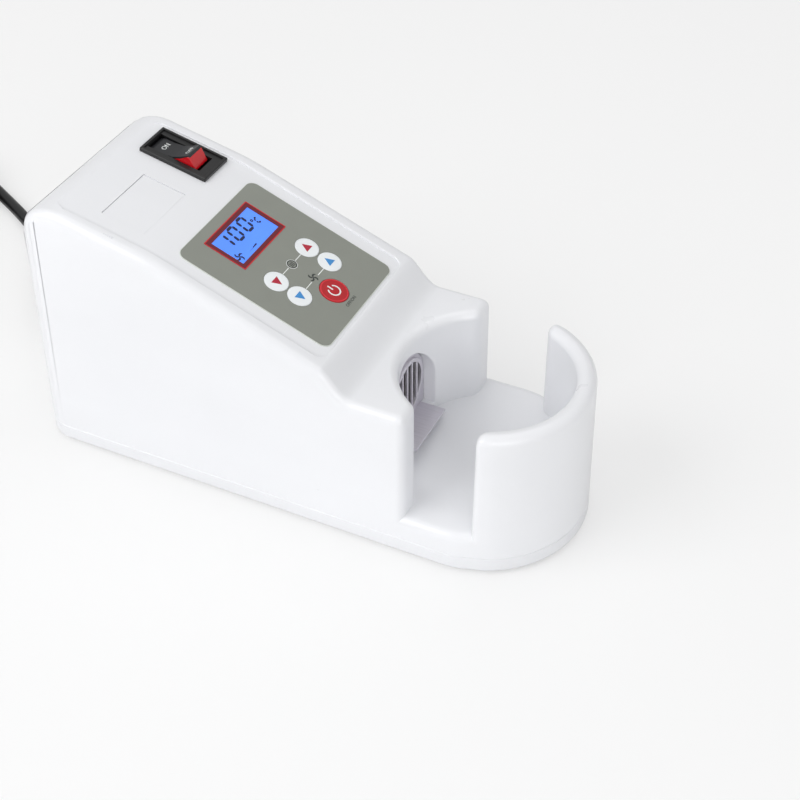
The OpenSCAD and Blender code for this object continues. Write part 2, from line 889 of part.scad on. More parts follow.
module switch_wires() {
    color("black")
    for (s = [0, 1]) let (y = 31.4 - s * 5.4)
        tube([at_switch([s * 10, 4.5, -26]), at_switch([s * 10, 5, -32]),
              [-95 + s * 9, 35, 82], [-99 + s * 6, 35, 62], [-103 + s * 2, 34 - s * 4, 40],
              [-106, y, 30], [-106, y, board_top + 5]], lead_r, 6, [0, 1, 0]);
}

module motor_wires() {
    color("firebrick")
    for (s = [-1, 1]) let (x = -78 + s * 3)
        tube([[scroll_x + s * 8, -44.1, scroll_z - 2.2], [scroll_x + s * 8, -44.3, 66],
              [-80 + s * 5, -44.3, 48], [x, -41, 30], [x, -37.2, 19],
              [x, -37, board_top]], lead_r, 6, [0, 1, 0]);
}

module heater_wires() {
    color("white")
    for (s = [-1, 1])
        tube([[-17 + s * 3, 0, 80.1], [-17 + s * 3, 0.8, 83], [-20 + s * 2.4, 9, 85],
              [-26 + s * 2, 20, 80], [-36, 28 + s * 1.6, 62], [-46, 30 + s * 1.6, 36],
              [-51, 30 + s * 1.6, 20], [-52, 30 + s * 1.6, board_top]], lead_r, 6, [1, 0, 0]);
}

// ---------------------------------------------------------------- mains cord

relief_len = 27.75;
relief_tip = [-160, relief_y, relief_z];

module strain_relief() {
    x0 = relief_tip.x;
    color([0.08, 0.08, 0.08])
    translate([x0, relief_y, relief_z]) rotate([0, 90, 0]) {
        cylinder(h = relief_len - 2.3, r1 = 4.3, r2 = 6);
        translate([0, 0, relief_len - 2.4]) cylinder(h = 2.3, r = 8);
        translate([0, 0, relief_len - 0.2]) cylinder(h = 3.2, r = 5.4);
    }
}

// Centre line of the free run: out of the relief, down to the table, out to the coil
route = [
    [-160, 22, 23.5], [-167, 22, 23.5], [-175, 23.4, 22.9], [-183, 27.5, 21],
    [-189.5, 33.5, 18.4], [-195.5, 41, 15.3], [-203, 50.5, 11.6], [-211, 60.5, 8],
    [-219.5, 71, 5.4], [-229, 81.5, 4], [-240, 91, 3.6], [-251.5, 98.4, 3.6],
    [-263, 104.8, 3.6], [-277, 112, 3.8], [-291, 119, 4.2], [-301, 124, 4.2]
];

module mains_cord() {
    color([0.08, 0.08, 0.08]) tube(route, cord_d / 2, 8);
}

// The rest of the cord, wound in two layers: in along the table, then out on top
coil_r = 47;
coil_pitch = cord_d + 0.5;
loop_steps = 24;
coil_n = round(coil_turns * loop_steps);
route_end = route[len(route) - 1];
run_in = unit(route_end - route[len(route) - 2]);
coil_a0 = atan2(run_in.y, run_in.x) - 90;
coil_c = route_end + cord_d * run_in - coil_r * [cos(coil_a0), sin(coil_a0), 0];
function coil_in(i) = min(i, coil_n - i) / loop_steps;
function coil_rise(i) = ease(min(1, max(0, (i - coil_n / 2) / (loop_steps / 2) + 0.5)));
function coil_radius(i) = coil_r - coil_pitch * coil_in(i);
winding = [for (i = [0 : coil_n]) let (a = coil_a0 + 360 * i / loop_steps)
    coil_c + [coil_radius(i) * cos(a), coil_radius(i) * sin(a), coil_pitch * coil_rise(i)]];

// The last stretch leaves along the tangent and rises to the axis of the plug
tail_a = coil_a0 + 360 * coil_n / loop_steps + 90;
tail_dir = [cos(tail_a), sin(tail_a), 0];
tail_len = 46;
plug_r = 18;
plug_z = plug_r + 0.1;
tail_rise = plug_z - winding[coil_n].z;
tail = [for (t = [0.16, 0.4, 0.65, 0.83, 1])
    winding[coil_n] + tail_len * t * tail_dir + [0, 0, tail_rise * ease(min(1, t / 0.83))]];
coil_path = concat([route_end], winding, tail);

least_gap = min([for (i = [0 : len(coil_path) - 1], j = [i + 8 : 1 : len(coil_path) - 1])
    norm(coil_path[i] - coil_path[j])]) - cord_d;
function run_length(p) = [for (i = 1, s = 0; i <= len(p);
    s = s + (i < len(p) ? norm(p[i] - p[i - 1]) : 0), i = i + 1) s][len(p) - 1];
echo(least_gap_of_coil = least_gap);
echo(cord_length = run_length(route) + run_length(coil_path));
echo(rocker_pivot = at_switch([pivot.x, 0, pivot.y]));

module cord_coil() {
    color([0.08, 0.08, 0.08]) tube(coil_path, cord_d / 2, 6);
}

// A band round the bundle of turns
module cord_tie() {
    step = 5;
    band = 5;
    t = 0.5;
    slack = 0.15;
    radii = [for (i = [step : loop_steps : coil_n]) coil_radius(i)];
    w = max(radii) - min(radii) + cord_d + 4 * slack;
    h = coil_pitch + cord_d + 2 * slack;
    color([0.15, 0.15, 0.15])
    translate(coil_c + [0, 0, coil_pitch / 2])
        rotate([0, 0, coil_a0 + 360 * step / loop_steps])
            translate([(max(radii) + min(radii)) / 2, band / 2, 0]) rotate([90, 0, 0])
                difference() {
                    round_plate(w + 2 * t, h + 2 * t, 2 + t, band);
                    translate([0, 0, -1]) round_plate(w, h, 2, band + 2);
                }
}

tail_end = coil_path[len(coil_path) - 1];
pin_gap = 19;
pin_d = 4.8;
pin_l = 19;

module at_plug() {
    translate(tail_end) rotate([0, 0, atan2(tail_dir.y, tail_dir.x)]) rotate([0, 90, 0])
        children();
}

module plug_body() {
    color([0.08, 0.08, 0.08])
    at_plug() difference() {
        union() {
            cylinder(h = 18, r1 = 4.4, r2 = 6.5);
            translate([0, 0, 16]) cylinder(h = 8, r1 = 8, r2 = plug_r - 2);
            translate([0, 0, 24 - eps]) cylinder(h = 14, r1 = plug_r - 2, r2 = plug_r);
        }
        for (s = [-1, 1]) translate([0, s * pin_gap / 2, 30]) cylinder(h = 10, d = pin_d);
    }
}

module plug_pins() {
    color("gainsboro")
    at_plug() for (s = [-1, 1]) translate([0, s * pin_gap / 2, 30]) {
        cylinder(h = 8 + pin_l - 2, d = pin_d);
        translate([0, 0, 8 + pin_l - 2 - eps]) cylinder(h = 2, d1 = pin_d, d2 = pin_d - 2);
    }
}

// ---------------------------------------------------------------- output

upper_cover();
base_tray();
rubber_feet();
tray_screws();
badge_plate();
keypad_overlay();
display_frame();
display_lens();
lcd_module();
control_board();
board_screws();
tact_switches();
temp_down_key();
temp_up_key();
fan_down_key();
fan_up_key();
power_key();
switch_body();
rocker();
rocker_top();
switch_terminals();
blower_housing();
blower_cover();
blower_screws();
impeller();
motor_shaft();
fan_motor();
motor_screws();
blower_bracket();
bracket_screws();
nozzle_tube();
heat_shield();
heater_former();
heater_coil();
thermal_cutout();
temperature_sensor();
outlet_plate();
outlet_grille();
power_board();
power_board_screws();
transformer();
capacitor();
heat_sink();
terminal_block();
ribbon_cable();
mains_wires();
switch_wires();
motor_wires();
heater_wires();
strain_relief();
mains_cord();
cord_coil();
cord_tie();
plug_body();
plug_pins();
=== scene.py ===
"""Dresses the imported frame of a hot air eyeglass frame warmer.

The mouldings, keypad, switch, outlet and mains lead are modelled here in millimetres around the
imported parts, and every part gets its finish. Frame: +X towards the hood, +Y far side, +Z up.
"""

import json
import logging
import math
from dataclasses import dataclass, field
from enum import Enum
from typing import Any, Callable, Mapping, Sequence

import bmesh
import bpy
from mathutils import Matrix, Vector


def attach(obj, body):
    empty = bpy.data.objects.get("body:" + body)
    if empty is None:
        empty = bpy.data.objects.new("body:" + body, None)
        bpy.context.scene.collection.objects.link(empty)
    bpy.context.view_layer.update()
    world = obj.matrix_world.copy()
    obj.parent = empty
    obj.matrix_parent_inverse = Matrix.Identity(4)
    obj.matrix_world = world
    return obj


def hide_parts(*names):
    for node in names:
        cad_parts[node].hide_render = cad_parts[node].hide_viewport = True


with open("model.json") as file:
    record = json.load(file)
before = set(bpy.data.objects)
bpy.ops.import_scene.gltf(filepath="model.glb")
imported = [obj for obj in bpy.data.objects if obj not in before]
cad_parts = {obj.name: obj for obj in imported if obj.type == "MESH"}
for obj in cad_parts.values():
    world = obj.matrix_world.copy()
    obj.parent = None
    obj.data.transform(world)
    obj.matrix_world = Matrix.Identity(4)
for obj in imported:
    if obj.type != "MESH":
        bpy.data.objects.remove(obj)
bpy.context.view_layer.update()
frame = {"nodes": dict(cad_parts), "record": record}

LOG = logging.getLogger("frame_warmer")
MM = 0.001
WELD = 1e-4
ROOT = "housing"
SOFT_TURN = math.radians(30)
CAP_SHARE = 0.7
Z_TO_X = Matrix.Rotation(math.pi / 2, 4, "Y")
Z_TO_MINUS_Y = Matrix.Rotation(math.pi / 2, 4, "X")
READING = Matrix.Rotation(math.pi / 2, 4, "Z")
Point = tuple[float, float]
Colour = tuple[float, float, float]


# ---------------------------------------------------------------- shapes


class Join(Enum):
    """How a tool shape acts on a base shape."""

    ADD = "UNION"
    CUT = "DIFFERENCE"
    KEEP = "INTERSECT"


def arc(centre: Point, radius: float, start: float, end: float, steps: int) -> list[Point]:
    """Points on an arc.

    Args:
        centre: middle of the circle.
        radius: its radius.
        start: first angle in degrees.
        end: last angle in degrees.
        steps: number of chords.

    Returns:
        The steps + 1 points.
    """
    turns = [math.radians(start + (end - start) * i / steps) for i in range(steps + 1)]
    return [(centre[0] + radius * math.cos(a), centre[1] + radius * math.sin(a)) for a in turns]


def ease(t: float) -> float:
    """Smooth step from 0 to 1."""
    return t * t * (3 - 2 * t)


def mix(a: float, b: float, t: float) -> float:
    """The value t of the way from a to b."""
    return a + (b - a) * t


def round_square(length: float, width: float, radius: float, steps: int = 6) -> list[Point]:
    """Outline of a rectangle with round corners, about its middle."""
    x, y = length / 2 - radius, width / 2 - radius
    corners = [(x, y, 0), (-x, y, 90), (-x, -y, 180), (x, -y, 270)]
    return [p for cx, cy, a in corners for p in arc((cx, cy), radius, a, a + 90, steps)]


def new_object(name: str, data: bpy.types.ID) -> bpy.types.Object:
    """An object in the scene that shows a mesh, a curve, a lamp or a camera."""
    thing = bpy.data.objects.new(name, data)
    bpy.context.scene.collection.objects.link(thing)
    return thing


class Shape:
    """A mesh in millimetres that is shaped with bmesh operators."""

    def __init__(self) -> None:
        """Starts empty."""
        self.bm = bmesh.new()

    @classmethod
    def prism(cls, outline: Sequence[Sequence[float]], lift: Sequence[float]) -> "Shape":
        """A flat outline of 3-D points, pulled along lift into a closed solid."""
        shape = cls()
        face = shape.bm.faces.new([shape.bm.verts.new(p) for p in outline])
        pulled = bmesh.ops.extrude_face_region(shape.bm, geom=[face])["geom"]
        moved = [v for v in pulled if isinstance(v, bmesh.types.BMVert)]
        bmesh.ops.translate(shape.bm, vec=Vector(lift), verts=moved)
        return shape.closed()

    @classmethod
    def plate(cls, outline: Sequence[Point], z0: float, z1: float) -> "Shape":
        """An outline in the XY plane, made solid from z0 to z1."""
        return cls.prism([(x, y, z0) for x, y in outline], (0, 0, z1 - z0))

    @classmethod
    def across(cls, outline: Sequence[Point], y0: float, y1: float) -> "Shape":
        """An outline in the XZ plane, made solid from y0 to y1."""
        return cls.prism([(x, y0, z) for x, z in outline], (0, y1 - y0, 0))

    @classmethod
    def along(cls, outline: Sequence[Point], x0: float, x1: float) -> "Shape":
        """An outline in the YZ plane, made solid from x0 to x1."""
        return cls.prism([(x0, y, z) for y, z in outline], (x1 - x0, 0, 0))

    @classmethod
    def loft(cls, outlines: Sequence[Sequence[Sequence[float]]]) -> "Shape":
        """A closed solid through outlines that have the same number of points."""
        shape = cls()
        loops = []
        for outline in outlines:
            verts = [shape.bm.verts.new(p) for p in outline]
            pairs = zip(verts, verts[1:] + verts[:1])
            loops.append([shape.bm.edges.new(pair) for pair in pairs])
        for low, high in zip(loops, loops[1:]):
            bmesh.ops.bridge_loops(shape.bm, edges=low + high)
        return shape.closed()

    @classmethod
    def box(cls, low: Sequence[float], high: Sequence[float]) -> "Shape":
        """A block between two corners."""
        shape = cls()
        bmesh.ops.create_cube(shape.bm, size=1)
        sizes = [b - a for a, b in zip(low, high)]
        middle = [(a + b) / 2 for a, b in zip(low, high)]
        bmesh.ops.scale(shape.bm, vec=sizes, verts=shape.bm.verts)
        bmesh.ops.translate(shape.bm, vec=middle, verts=shape.bm.verts)
        return shape

    @classmethod
    def cylinder(cls, r: float, z0: float, z1: float, sides: int = 48) -> "Shape":
        """A round bar along Z from z0 to z1."""
        shape = cls()
        bmesh.ops.create_cone(
            shape.bm, cap_ends=True, segments=sides, radius1=r, radius2=r, depth=z1 - z0
        )
        bmesh.ops.translate(shape.bm, vec=(0, 0, (z0 + z1) / 2), verts=shape.bm.verts)
        return shape

    @classmethod
    def turned(cls, profile: Sequence[Point], sides: int = 48) -> "Shape":
        """A profile of (radius, height) points, spun about Z."""
        shape = cls()
        verts = [shape.bm.verts.new((r, 0, z)) for r, z in profile]
        edges = [shape.bm.edges.new(pair) for pair in zip(verts, verts[1:])]
        if profile[0][0] > WELD:
            edges.append(shape.bm.edges.new((verts[-1], verts[0])))
        bmesh.ops.spin(
            shape.bm, geom=verts + edges, cent=(0, 0, 0), axis=(0, 0, 1),
            angle=math.tau, steps=sides, use_merge=True,
        )
        return shape.closed()

    @classmethod
    def ring(cls, inner: float, outer: float, z0: float, z1: float, sides: int) -> "Shape":
        """A flat ring about Z from z0 to z1."""
        return cls.turned([(inner, z0), (outer, z0), (outer, z1), (inner, z1)], sides)

    @classmethod
    def lettering(cls, words: str, height: float, thick: float) -> "Shape":
        """Raised lettering about the origin, reading along +X."""
        curve = bpy.data.curves.new("lettering", "FONT")
        curve.body = words
        curve.size = height / CAP_SHARE
        curve.extrude = thick / 2
        curve.align_x = "CENTER"
        curve.align_y = "CENTER"
        curve.resolution_u = 3
        holder = new_object("lettering", curve)
        shape = cls._evaluated(holder)
        bpy.data.objects.remove(holder)
        bpy.data.curves.remove(curve)
        return shape.closed()

    @classmethod
    def _evaluated(cls, holder: bpy.types.Object) -> "Shape":
        """The shape that an object has with its modifiers."""
        seen = holder.evaluated_get(bpy.context.evaluated_depsgraph_get())
        mesh = bpy.data.meshes.new_from_object(seen)
        shape = cls()
        shape.bm.from_mesh(mesh)
        bpy.data.meshes.remove(mesh)
        return shape

    def closed(self) -> "Shape":
        """Welds doubles, fills open ends and points the faces outwards."""
        bmesh.ops.remove_doubles(self.bm, verts=self.bm.verts, dist=WELD)
        bmesh.ops.holes_fill(self.bm, edges=self.bm.edges, sides=0)
        bmesh.ops.recalc_face_normals(self.bm, faces=self.bm.faces)
        if self.bm.calc_volume(signed=True) < 0:
            bmesh.ops.reverse_faces(self.bm, faces=self.bm.faces)
        return self

    def simplified(self) -> "Shape":
        """Joins faces that lie in one plane and drops what has no size."""
        bmesh.ops.remove_doubles(self.bm, verts=self.bm.verts, dist=WELD * 10)
        bmesh.ops.dissolve_degenerate(self.bm, edges=self.bm.edges, dist=WELD)
        bmesh.ops.dissolve_limit(
            self.bm, angle_limit=math.radians(0.05), verts=self.bm.verts, edges=self.bm.edges
        )
        return self

    def placed(self, matrix: Matrix) -> "Shape":
        """Moves the shape by a matrix."""
        bmesh.ops.transform(self.bm, matrix=matrix, verts=self.bm.verts)
        return self

    def at(self, x: float, y: float, z: float = 0.0) -> "Shape":
        """Moves the shape by a distance."""
        return self.placed(Matrix.Translation((x, y, z)))

    def and_also(self, *others: "Shape") -> "Shape":
        """Takes in other shapes as islands of their own."""
        for other in others:
            mesh = bpy.data.meshes.new("island")
            other.bm.to_mesh(mesh)
            self.bm.from_mesh(mesh)
            bpy.data.meshes.remove(mesh)
        return self

    def _holder(self, name: str) -> bpy.types.Object:
        """A scene object that holds this shape for a while, its many-sided faces split."""
        wide = [f for f in self.bm.faces if len(f.verts) > 4]
        bmesh.ops.triangulate(self.bm, faces=wide)
        mesh = bpy.data.meshes.new(name)
        self.bm.to_mesh(mesh)
        return new_object(name, mesh)

    def mesh(self, name: str) -> bpy.types.Mesh:
        """The shape as a mesh in metres, which uses the shape up."""
        bmesh.ops.scale(self.bm, vec=(MM, MM, MM), verts=self.bm.verts)
        made = bpy.data.meshes.new(name)
        self.bm.to_mesh(made)
        self.bm.free()
        return made

    def joined(self, tool: "Shape", how: Join) -> "Shape":
        """This shape after a second one is added, cut away or kept in common."""
        base, cutter = self._holder("base"), tool._holder("tool")
        step = base.modifiers.new("join", "BOOLEAN")
        step.object = cutter
        step.operation = how.value
        step.solver = "EXACT"
        result = Shape._evaluated(base)
        for holder in (base, cutter):
            mesh = holder.data
            bpy.data.objects.remove(holder)
            bpy.data.meshes.remove(mesh)
        return result

    def cut(self, *tools: "Shape") -> "Shape":
        """This shape with each tool cut away."""
        result = self
        for tool in tools:
            result = result.joined(tool, Join.CUT)
        return result

    def plus(self, *others: "Shape") -> "Shape":
        """This shape with the others fused to it."""
        result = self
        for other in others:
            result = result.joined(other, Join.ADD)
        return result

    def rounded(
        self,
        radius: float,
        where: Callable[[Vector], bool] = lambda middle: True,
        segments: int = 3,
        least: float = 25.0,
    ) -> "Shape":
        """Rounds the outward edges that turn by more than least degrees.

        Args:
            radius: how far the round reaches over the two faces.
            where: tells from an edge's middle whether it is taken.
            segments: facets across the round.
            least: smallest turn that counts as an edge, in degrees.

        Returns:
            The shape itself.
        """
        taken = [
            e
            for e in self.bm.edges
            if e.is_manifold
            and e.calc_face_angle_signed() > math.radians(least)
            and where((e.verts[0].co + e.verts[1].co) / 2)
        ]
        if taken:
            bmesh.ops.bevel(
                self.bm, geom=taken, offset=radius, offset_type="OFFSET", segments=segments,
                profile=0.5, affect="EDGES", material=-1, clamp_overlap=False, loop_slide=True,
            )
            bmesh.ops.remove_doubles(self.bm, verts=self.bm.verts, dist=WELD)
        return self


# ---------------------------------------------------------------- shader maths


class Signal:
    """A shader socket whose operators add Math nodes."""

    def __init__(self, shader: "Shader", socket: bpy.types.NodeSocket) -> None:
        """Wraps an output socket of a shader's node."""
        self.shader = shader
        self.socket = socket

    def _math(self, operation: str, other: Any) -> "Signal":
        return self.shader.add("ShaderNodeMath", {"operation": operation}, {0: self, 1: other})

    def __add__(self, other: Any) -> "Signal":
        return self._math("ADD", other)

    def __mul__(self, other: Any) -> "Signal":
        return self._math("MULTIPLY", other)


class Shader:
    """A material's nodes, written as Python expressions."""

    def __init__(self, name: str) -> None:
        """Makes the material with its surface shader and output."""
        self.material = bpy.data.materials.new(name)
        self.material.use_nodes = True
        self.nodes = self.material.node_tree.nodes
        self.links = self.material.node_tree.links
        self.surface = self.nodes["Principled BSDF"]
        self.place = self.add("ShaderNodeTexCoord", output="Object")

    def add(
        self,
        kind: str,
        settings: Mapping[str, Any] | None = None,
        inputs: Mapping[Any, Any] | None = None,
        output: Any = 0,
    ) -> Signal:
        """Adds a node.

        Args:
            kind: the node's type.
            settings: its properties, set first.
            inputs: values or signals for its sockets, by name or number.
            output: name or number of the socket to go on with.

        Returns:
            That output as a signal.
        """
        node = self.nodes.new(kind)
        for name, value in (settings or {}).items():
            setattr(node, name, value)
        for name, value in (inputs or {}).items():
            self.feed(node.inputs[name], value)
        return Signal(self, node.outputs[output])

    def feed(self, socket: bpy.types.NodeSocket, value: Any) -> None:
        """Links a signal to a socket, or sets a plain value on it."""
        if isinstance(value, Signal):
            self.links.new(value.socket, socket)
        else:
            socket.default_value = value

    def set(self, **values: Any) -> None:
        """Sets or links sockets of the surface shader, spaces in their names as underscores."""
        for name, value in values.items():
            self.feed(self.surface.inputs[name.replace("_", " ")], value)

    def noise(
        self, scale: float, detail: float = 2.0, stretch: Sequence[float] = (1, 1, 1)
    ) -> Signal:
        """Noise from 0 to 1 with features of about 1/scale metres."""
        spot = self.add("ShaderNodeMapping", inputs={"Vector": self.place, "Scale": stretch})
        wants = {"Vector": spot, "Scale": scale, "Detail": detail}
        return self.add("ShaderNodeTexNoise", inputs=wants)

    def ramp(self, value: Signal, stops: Sequence[tuple[float, float]]) -> Signal:
        """Maps a signal through stops of (position, grey)."""
        node = self.nodes.new("ShaderNodeValToRGB")
        points = node.color_ramp.elements
        while len(points) < len(stops):
            points.new(0.5)
        for point, (position, grey) in zip(points, stops):
            point.position = position
            point.color = (grey, grey, grey, 1)
        self.feed(node.inputs[0], value)
        return Signal(self, node.outputs[0])

    def blend(self, factor: Any, first: Any, second: Any) -> Signal:
        """Mixes two colours by a factor."""
        wants = {0: factor, 6: _four(first), 7: _four(second)}
        return self.add("ShaderNodeMix", {"data_type": "RGBA"}, wants, 2)

    def relief(self, height: Signal, depth: float, under: Signal | None = None) -> Signal:
        """A bump of some depth in metres, on top of another bump if one is given."""
        wants = {"Height": height, "Distance": depth, "Strength": 1.0}
        if under is not None:
            wants["Normal"] = under
        return self.add("ShaderNodeBump", inputs=wants)


def _four(colour: Any) -> Any:
    """A colour with its alpha, or the signal as it is."""
    return colour if isinstance(colour, Signal) else (*colour, 1.0)


def srgb(code: str) -> Colour:
    """Linear colour of a screen colour such as 8b8f86."""
    parts = [int(code[i : i + 2], 16) / 255 for i in (0, 2, 4)]
    linear = [c / 12.92 if c <= 0.04045 else ((c + 0.055) / 1.055) ** 2.4 for c in parts]
    return (linear[0], linear[1], linear[2])


def toned(colour: Colour, share: float) -> Colour:
    """A colour made darker or lighter by a share."""
    return tuple(min(1.0, c * share) for c in colour)


# ---------------------------------------------------------------- finishes


@dataclass(frozen=True)
class Finish:
    """A surface finish: its name, the record's slot that it belongs to, and its base values."""

    name: str
    slot: str
    colour: Colour
    roughness: float = 0.4

    def material(self) -> bpy.types.Material:
        """The material, made at first use."""
        label = f"{self.name}_finish"
        made = bpy.data.materials.get(label)
        if made:
            return made
        shader = Shader(label)
        shader.set(Base_Color=(*self.colour, 1.0), Roughness=self.roughness)
        shader.material.diffuse_color = (*self.colour, 1.0)
        self.dress(shader)
        return shader.material

    def dress(self, shader: Shader) -> None:
        """Adds what this kind of finish has over a plain colour."""


@dataclass(frozen=True)
class Moulding(Finish):
    """Injection moulded plastic: faint flow tone, fine polish marks and a soft skin."""

    gloss: float = 0.3
    skin: float = 0.00002

    def dress(self, shader: Shader) -> None:
        """Adds flow tone, handling haze and a fine uneven skin."""
        flow = shader.noise(14, 3, (0.4, 1, 1))
        haze = shader.noise(60, 4)
        grain = shader.noise(2200, 2)
        wave = shader.noise(120, 1)
        dark, light = toned(self.colour, 0.965), toned(self.colour, 1.015)
        shader.set(
            Base_Color=shader.blend(shader.ramp(flow, [(0.3, 0), (0.7, 1)]), dark, light),
            Roughness=haze * 0.12 + (self.roughness - 0.06),
            Normal=shader.relief(grain, self.skin * 0.15, shader.relief(wave, self.skin)),
            Coat_Weight=self.gloss,
            Coat_Roughness=0.12,
        )


@dataclass(frozen=True)
class PlatedMetal(Finish):
    """Plated or turned metal with cloudy tone and fine wear."""

    def dress(self, shader: Shader) -> None:
        """Adds cloudy plating, dull spots and small pits."""
        cloud = shader.noise(180, 4)
        spots = shader.ramp(shader.noise(900, 3), [(0.55, 0), (0.7, 1)])
        dark = toned(self.colour, 0.78)
        shader.set(
            Metallic=1.0,
            Base_Color=shader.blend(cloud, dark, toned(self.colour, 1.06)),
            Roughness=spots * 0.22 + (self.roughness - 0.02),
            Normal=shader.relief(shader.noise(1500, 2), 0.000012),
        )


@dataclass(frozen=True)
class RolledSheet(Finish):
    """Rolled or brushed sheet metal with its lines along one way."""

    lines: tuple[float, float, float] = (0.03, 1, 1)

    def dress(self, shader: Shader) -> None:
        """Adds rolling lines in tone, gloss and relief, and a slight stain."""
        brushed = shader.noise(2400, 3, self.lines)
        stain = shader.noise(45, 3)
        dark = toned(self.colour, 0.8)
        tone = shader.blend(brushed, dark, toned(self.colour, 1.1))
        shader.set(
            Metallic=1.0,
            Base_Color=shader.blend(stain * 0.3, tone, dark),
            Roughness=brushed * 0.2 + (self.roughness - 0.1),
            Normal=shader.relief(brushed, 0.000015),
        )


@dataclass(frozen=True)
class PrintedFilm(Finish):
    """Printed polyester film with a fine matt texture."""

    def dress(self, shader: Shader) -> None:
        """Adds the film's fine grain and slight unevenness of the ink."""
        grain = shader.noise(3200, 2)
        ink = shader.noise(90, 4)
        shader.set(
            Base_Color=shader.blend(ink, toned(self.colour, 0.94), toned(self.colour, 1.05)),
            Roughness=ink * 0.14 + (self.roughness - 0.07),
            Normal=shader.relief(grain, 0.000008),
        )


@dataclass(frozen=True)
class LitDisplay(Finish):
    """A backlit display: brighter near its lamps, with the fine grid of the diffuser."""

    glow: float = 0.55

    def dress(self, shader: Shader) -> None:
        """Adds the uneven backlight behind the glass."""
        uneven = shader.noise(55, 1)
        grid = shader.noise(2600, 1)
        tone = shader.blend(uneven, toned(self.colour, 0.82), toned(self.colour, 1.12))
        shader.set(
            Base_Color=tone,
            Emission_Color=tone,
            Emission_Strength=self.glow,
            Roughness=grid * 0.08 + self.roughness,
            Coat_Weight=0.6,
            Coat_Roughness=0.05,
        )


@dataclass(frozen=True)
class Rubber(Finish):
    """Soft black rubber or vinyl with a fine bloom."""

    bloom: float = 0.35

    def dress(self, shader: Shader) -> None:
        """Adds bloom in the tone, uneven gloss and a fine grain."""
        bloom = shader.ramp(shader.noise(70, 5), [(0.4, 0), (0.8, 1)])
        pale = tuple(min(1.0, c * 1.8 + 0.006) for c in self.colour)
        shader.set(
            Base_Color=shader.blend(bloom * self.bloom, self.colour, pale),
            Roughness=bloom * 0.15 + (self.roughness - 0.05),
            Normal=shader.relief(shader.noise(1400, 3), 0.000015),
        )


@dataclass(frozen=True)
class CircuitBoard(Finish):
    """Coated board with darker tracks under the coating."""

    def dress(self, shader: Shader) -> None:
        """Adds tracks and the gloss of the coating."""
        wants = {"Vector": shader.place, "Scale": 320.0, "Randomness": 0.55}
        cells = shader.add(
            "ShaderNodeTexVoronoi", {"distance": "MANHATTAN", "feature": "F1"}, wants
        )
        tracks = shader.ramp(cells, [(0.32, 0), (0.4, 1)])
        shader.set(
            Base_Color=shader.blend(tracks, toned(self.colour, 1.5), toned(self.colour, 0.7)),
            Roughness=tracks * 0.15 + self.roughness,
            Normal=shader.relief(tracks, 0.00003),
        )


@dataclass(frozen=True)
class MicaSheet(Finish):
    """Pressed mica or wound tape with flakes and layers."""

    def dress(self, shader: Shader) -> None:
        """Adds flakes in tone and gloss."""
        flakes = shader.add("ShaderNodeTexVoronoi", None, {"Vector": shader.place, "Scale": 700.0})
        layers = shader.noise(400, 4, (1, 1, 0.2))
        tone = shader.blend(layers, toned(self.colour, 0.7), toned(self.colour, 1.15))
        shader.set(
            Base_Color=shader.blend(flakes * 0.4, tone, toned(self.colour, 1.3)),
            Roughness=flakes * 0.3 + self.roughness,
            Normal=shader.relief(layers, 0.00004),
        )


HOUSING_WHITE = Moulding("housing_white", "housing_white", srgb("ecedf0"), 0.3)
TRAY_WHITE = Moulding("tray_white", "tray_white", srgb("e9eaed"), 0.36, 0.15)
RUBBER_DARK = Rubber("rubber_dark", "rubber_dark", srgb("2a2a2a"), 0.7)
STEEL_ZINC = PlatedMetal("steel_zinc", "steel_zinc", srgb("b8babd"), 0.32)
SHEET_STEEL = RolledSheet("sheet_steel", "sheet_steel", srgb("b4b4b8"), 0.42)
OUTLET_SHEET = RolledSheet("outlet_sheet", "sheet_steel", srgb("e2dfe6"), 0.55)
ALUMINIUM = RolledSheet("aluminium_plain", "aluminium_plain", srgb("cacbcd"), 0.38)
NICKEL_PINS = PlatedMetal("nickel_pins", "brass_pins", srgb("c9bd9a"), 0.25)
FILM_GREY = PrintedFilm("film_grey", "overlay_grey", srgb("8a8d85"), 0.5)
FILM_EDGE = PrintedFilm("film_edge", "key_white", srgb("d6dad4"), 0.45)
KEY_WHITE = PrintedFilm("key_white", "key_white", srgb("eef2f4"), 0.42)
KEY_RED = PrintedFilm("key_red", "key_red", srgb("b40d18"), 0.4)
KEY_RING = PrintedFilm("key_ring", "key_red", srgb("d82c38"), 0.42)
INK_RED = PrintedFilm("ink_red", "key_red", srgb("b31f38"), 0.45)
INK_BLUE = PrintedFilm("ink_blue", "display_blue", srgb("3f8fd0"), 0.45)
INK_WHITE = PrintedFilm("ink_white", "key_white", srgb("e9ecea"), 0.45)
INK_DARK = PrintedFilm("ink_dark", "plastic_black", srgb("3a3f3c"), 0.5)
INK_NAVY = PrintedFilm("ink_navy", "plastic_black", srgb("0b1746"), 0.4)
FRAME_RED = PrintedFilm("frame_red", "display_red", srgb("6c0c1c"), 0.42)
FRAME_LINE = PrintedFilm("frame_line", "key_red", srgb("cc1826"), 0.42)
DISPLAY_BLUE = LitDisplay("display_blue", "display_blue", srgb("4a80ec"), 0.18)
PLASTIC_BLACK = Moulding("plastic_black", "plastic_black", srgb("0e0e0f"), 0.42, 0.2)
ROCKER_RED = Moulding("rocker_red", "rocker_red", srgb("d21620"), 0.22, 0.6)
ROCKER_GREY = Moulding("rocker_grey", "rocker_grey", srgb("242528"), 0.45, 0.1)
BLOWER_GREY = Moulding("blower_grey", "blower_grey", srgb("3d4145"), 0.5, 0.05)
MICA_TAN = MicaSheet("mica_tan", "mica_tan", srgb("b89f6c"), 0.5)
BOARD_GREEN = CircuitBoard("board_green", "board_green", srgb("2a6b38"), 0.35)
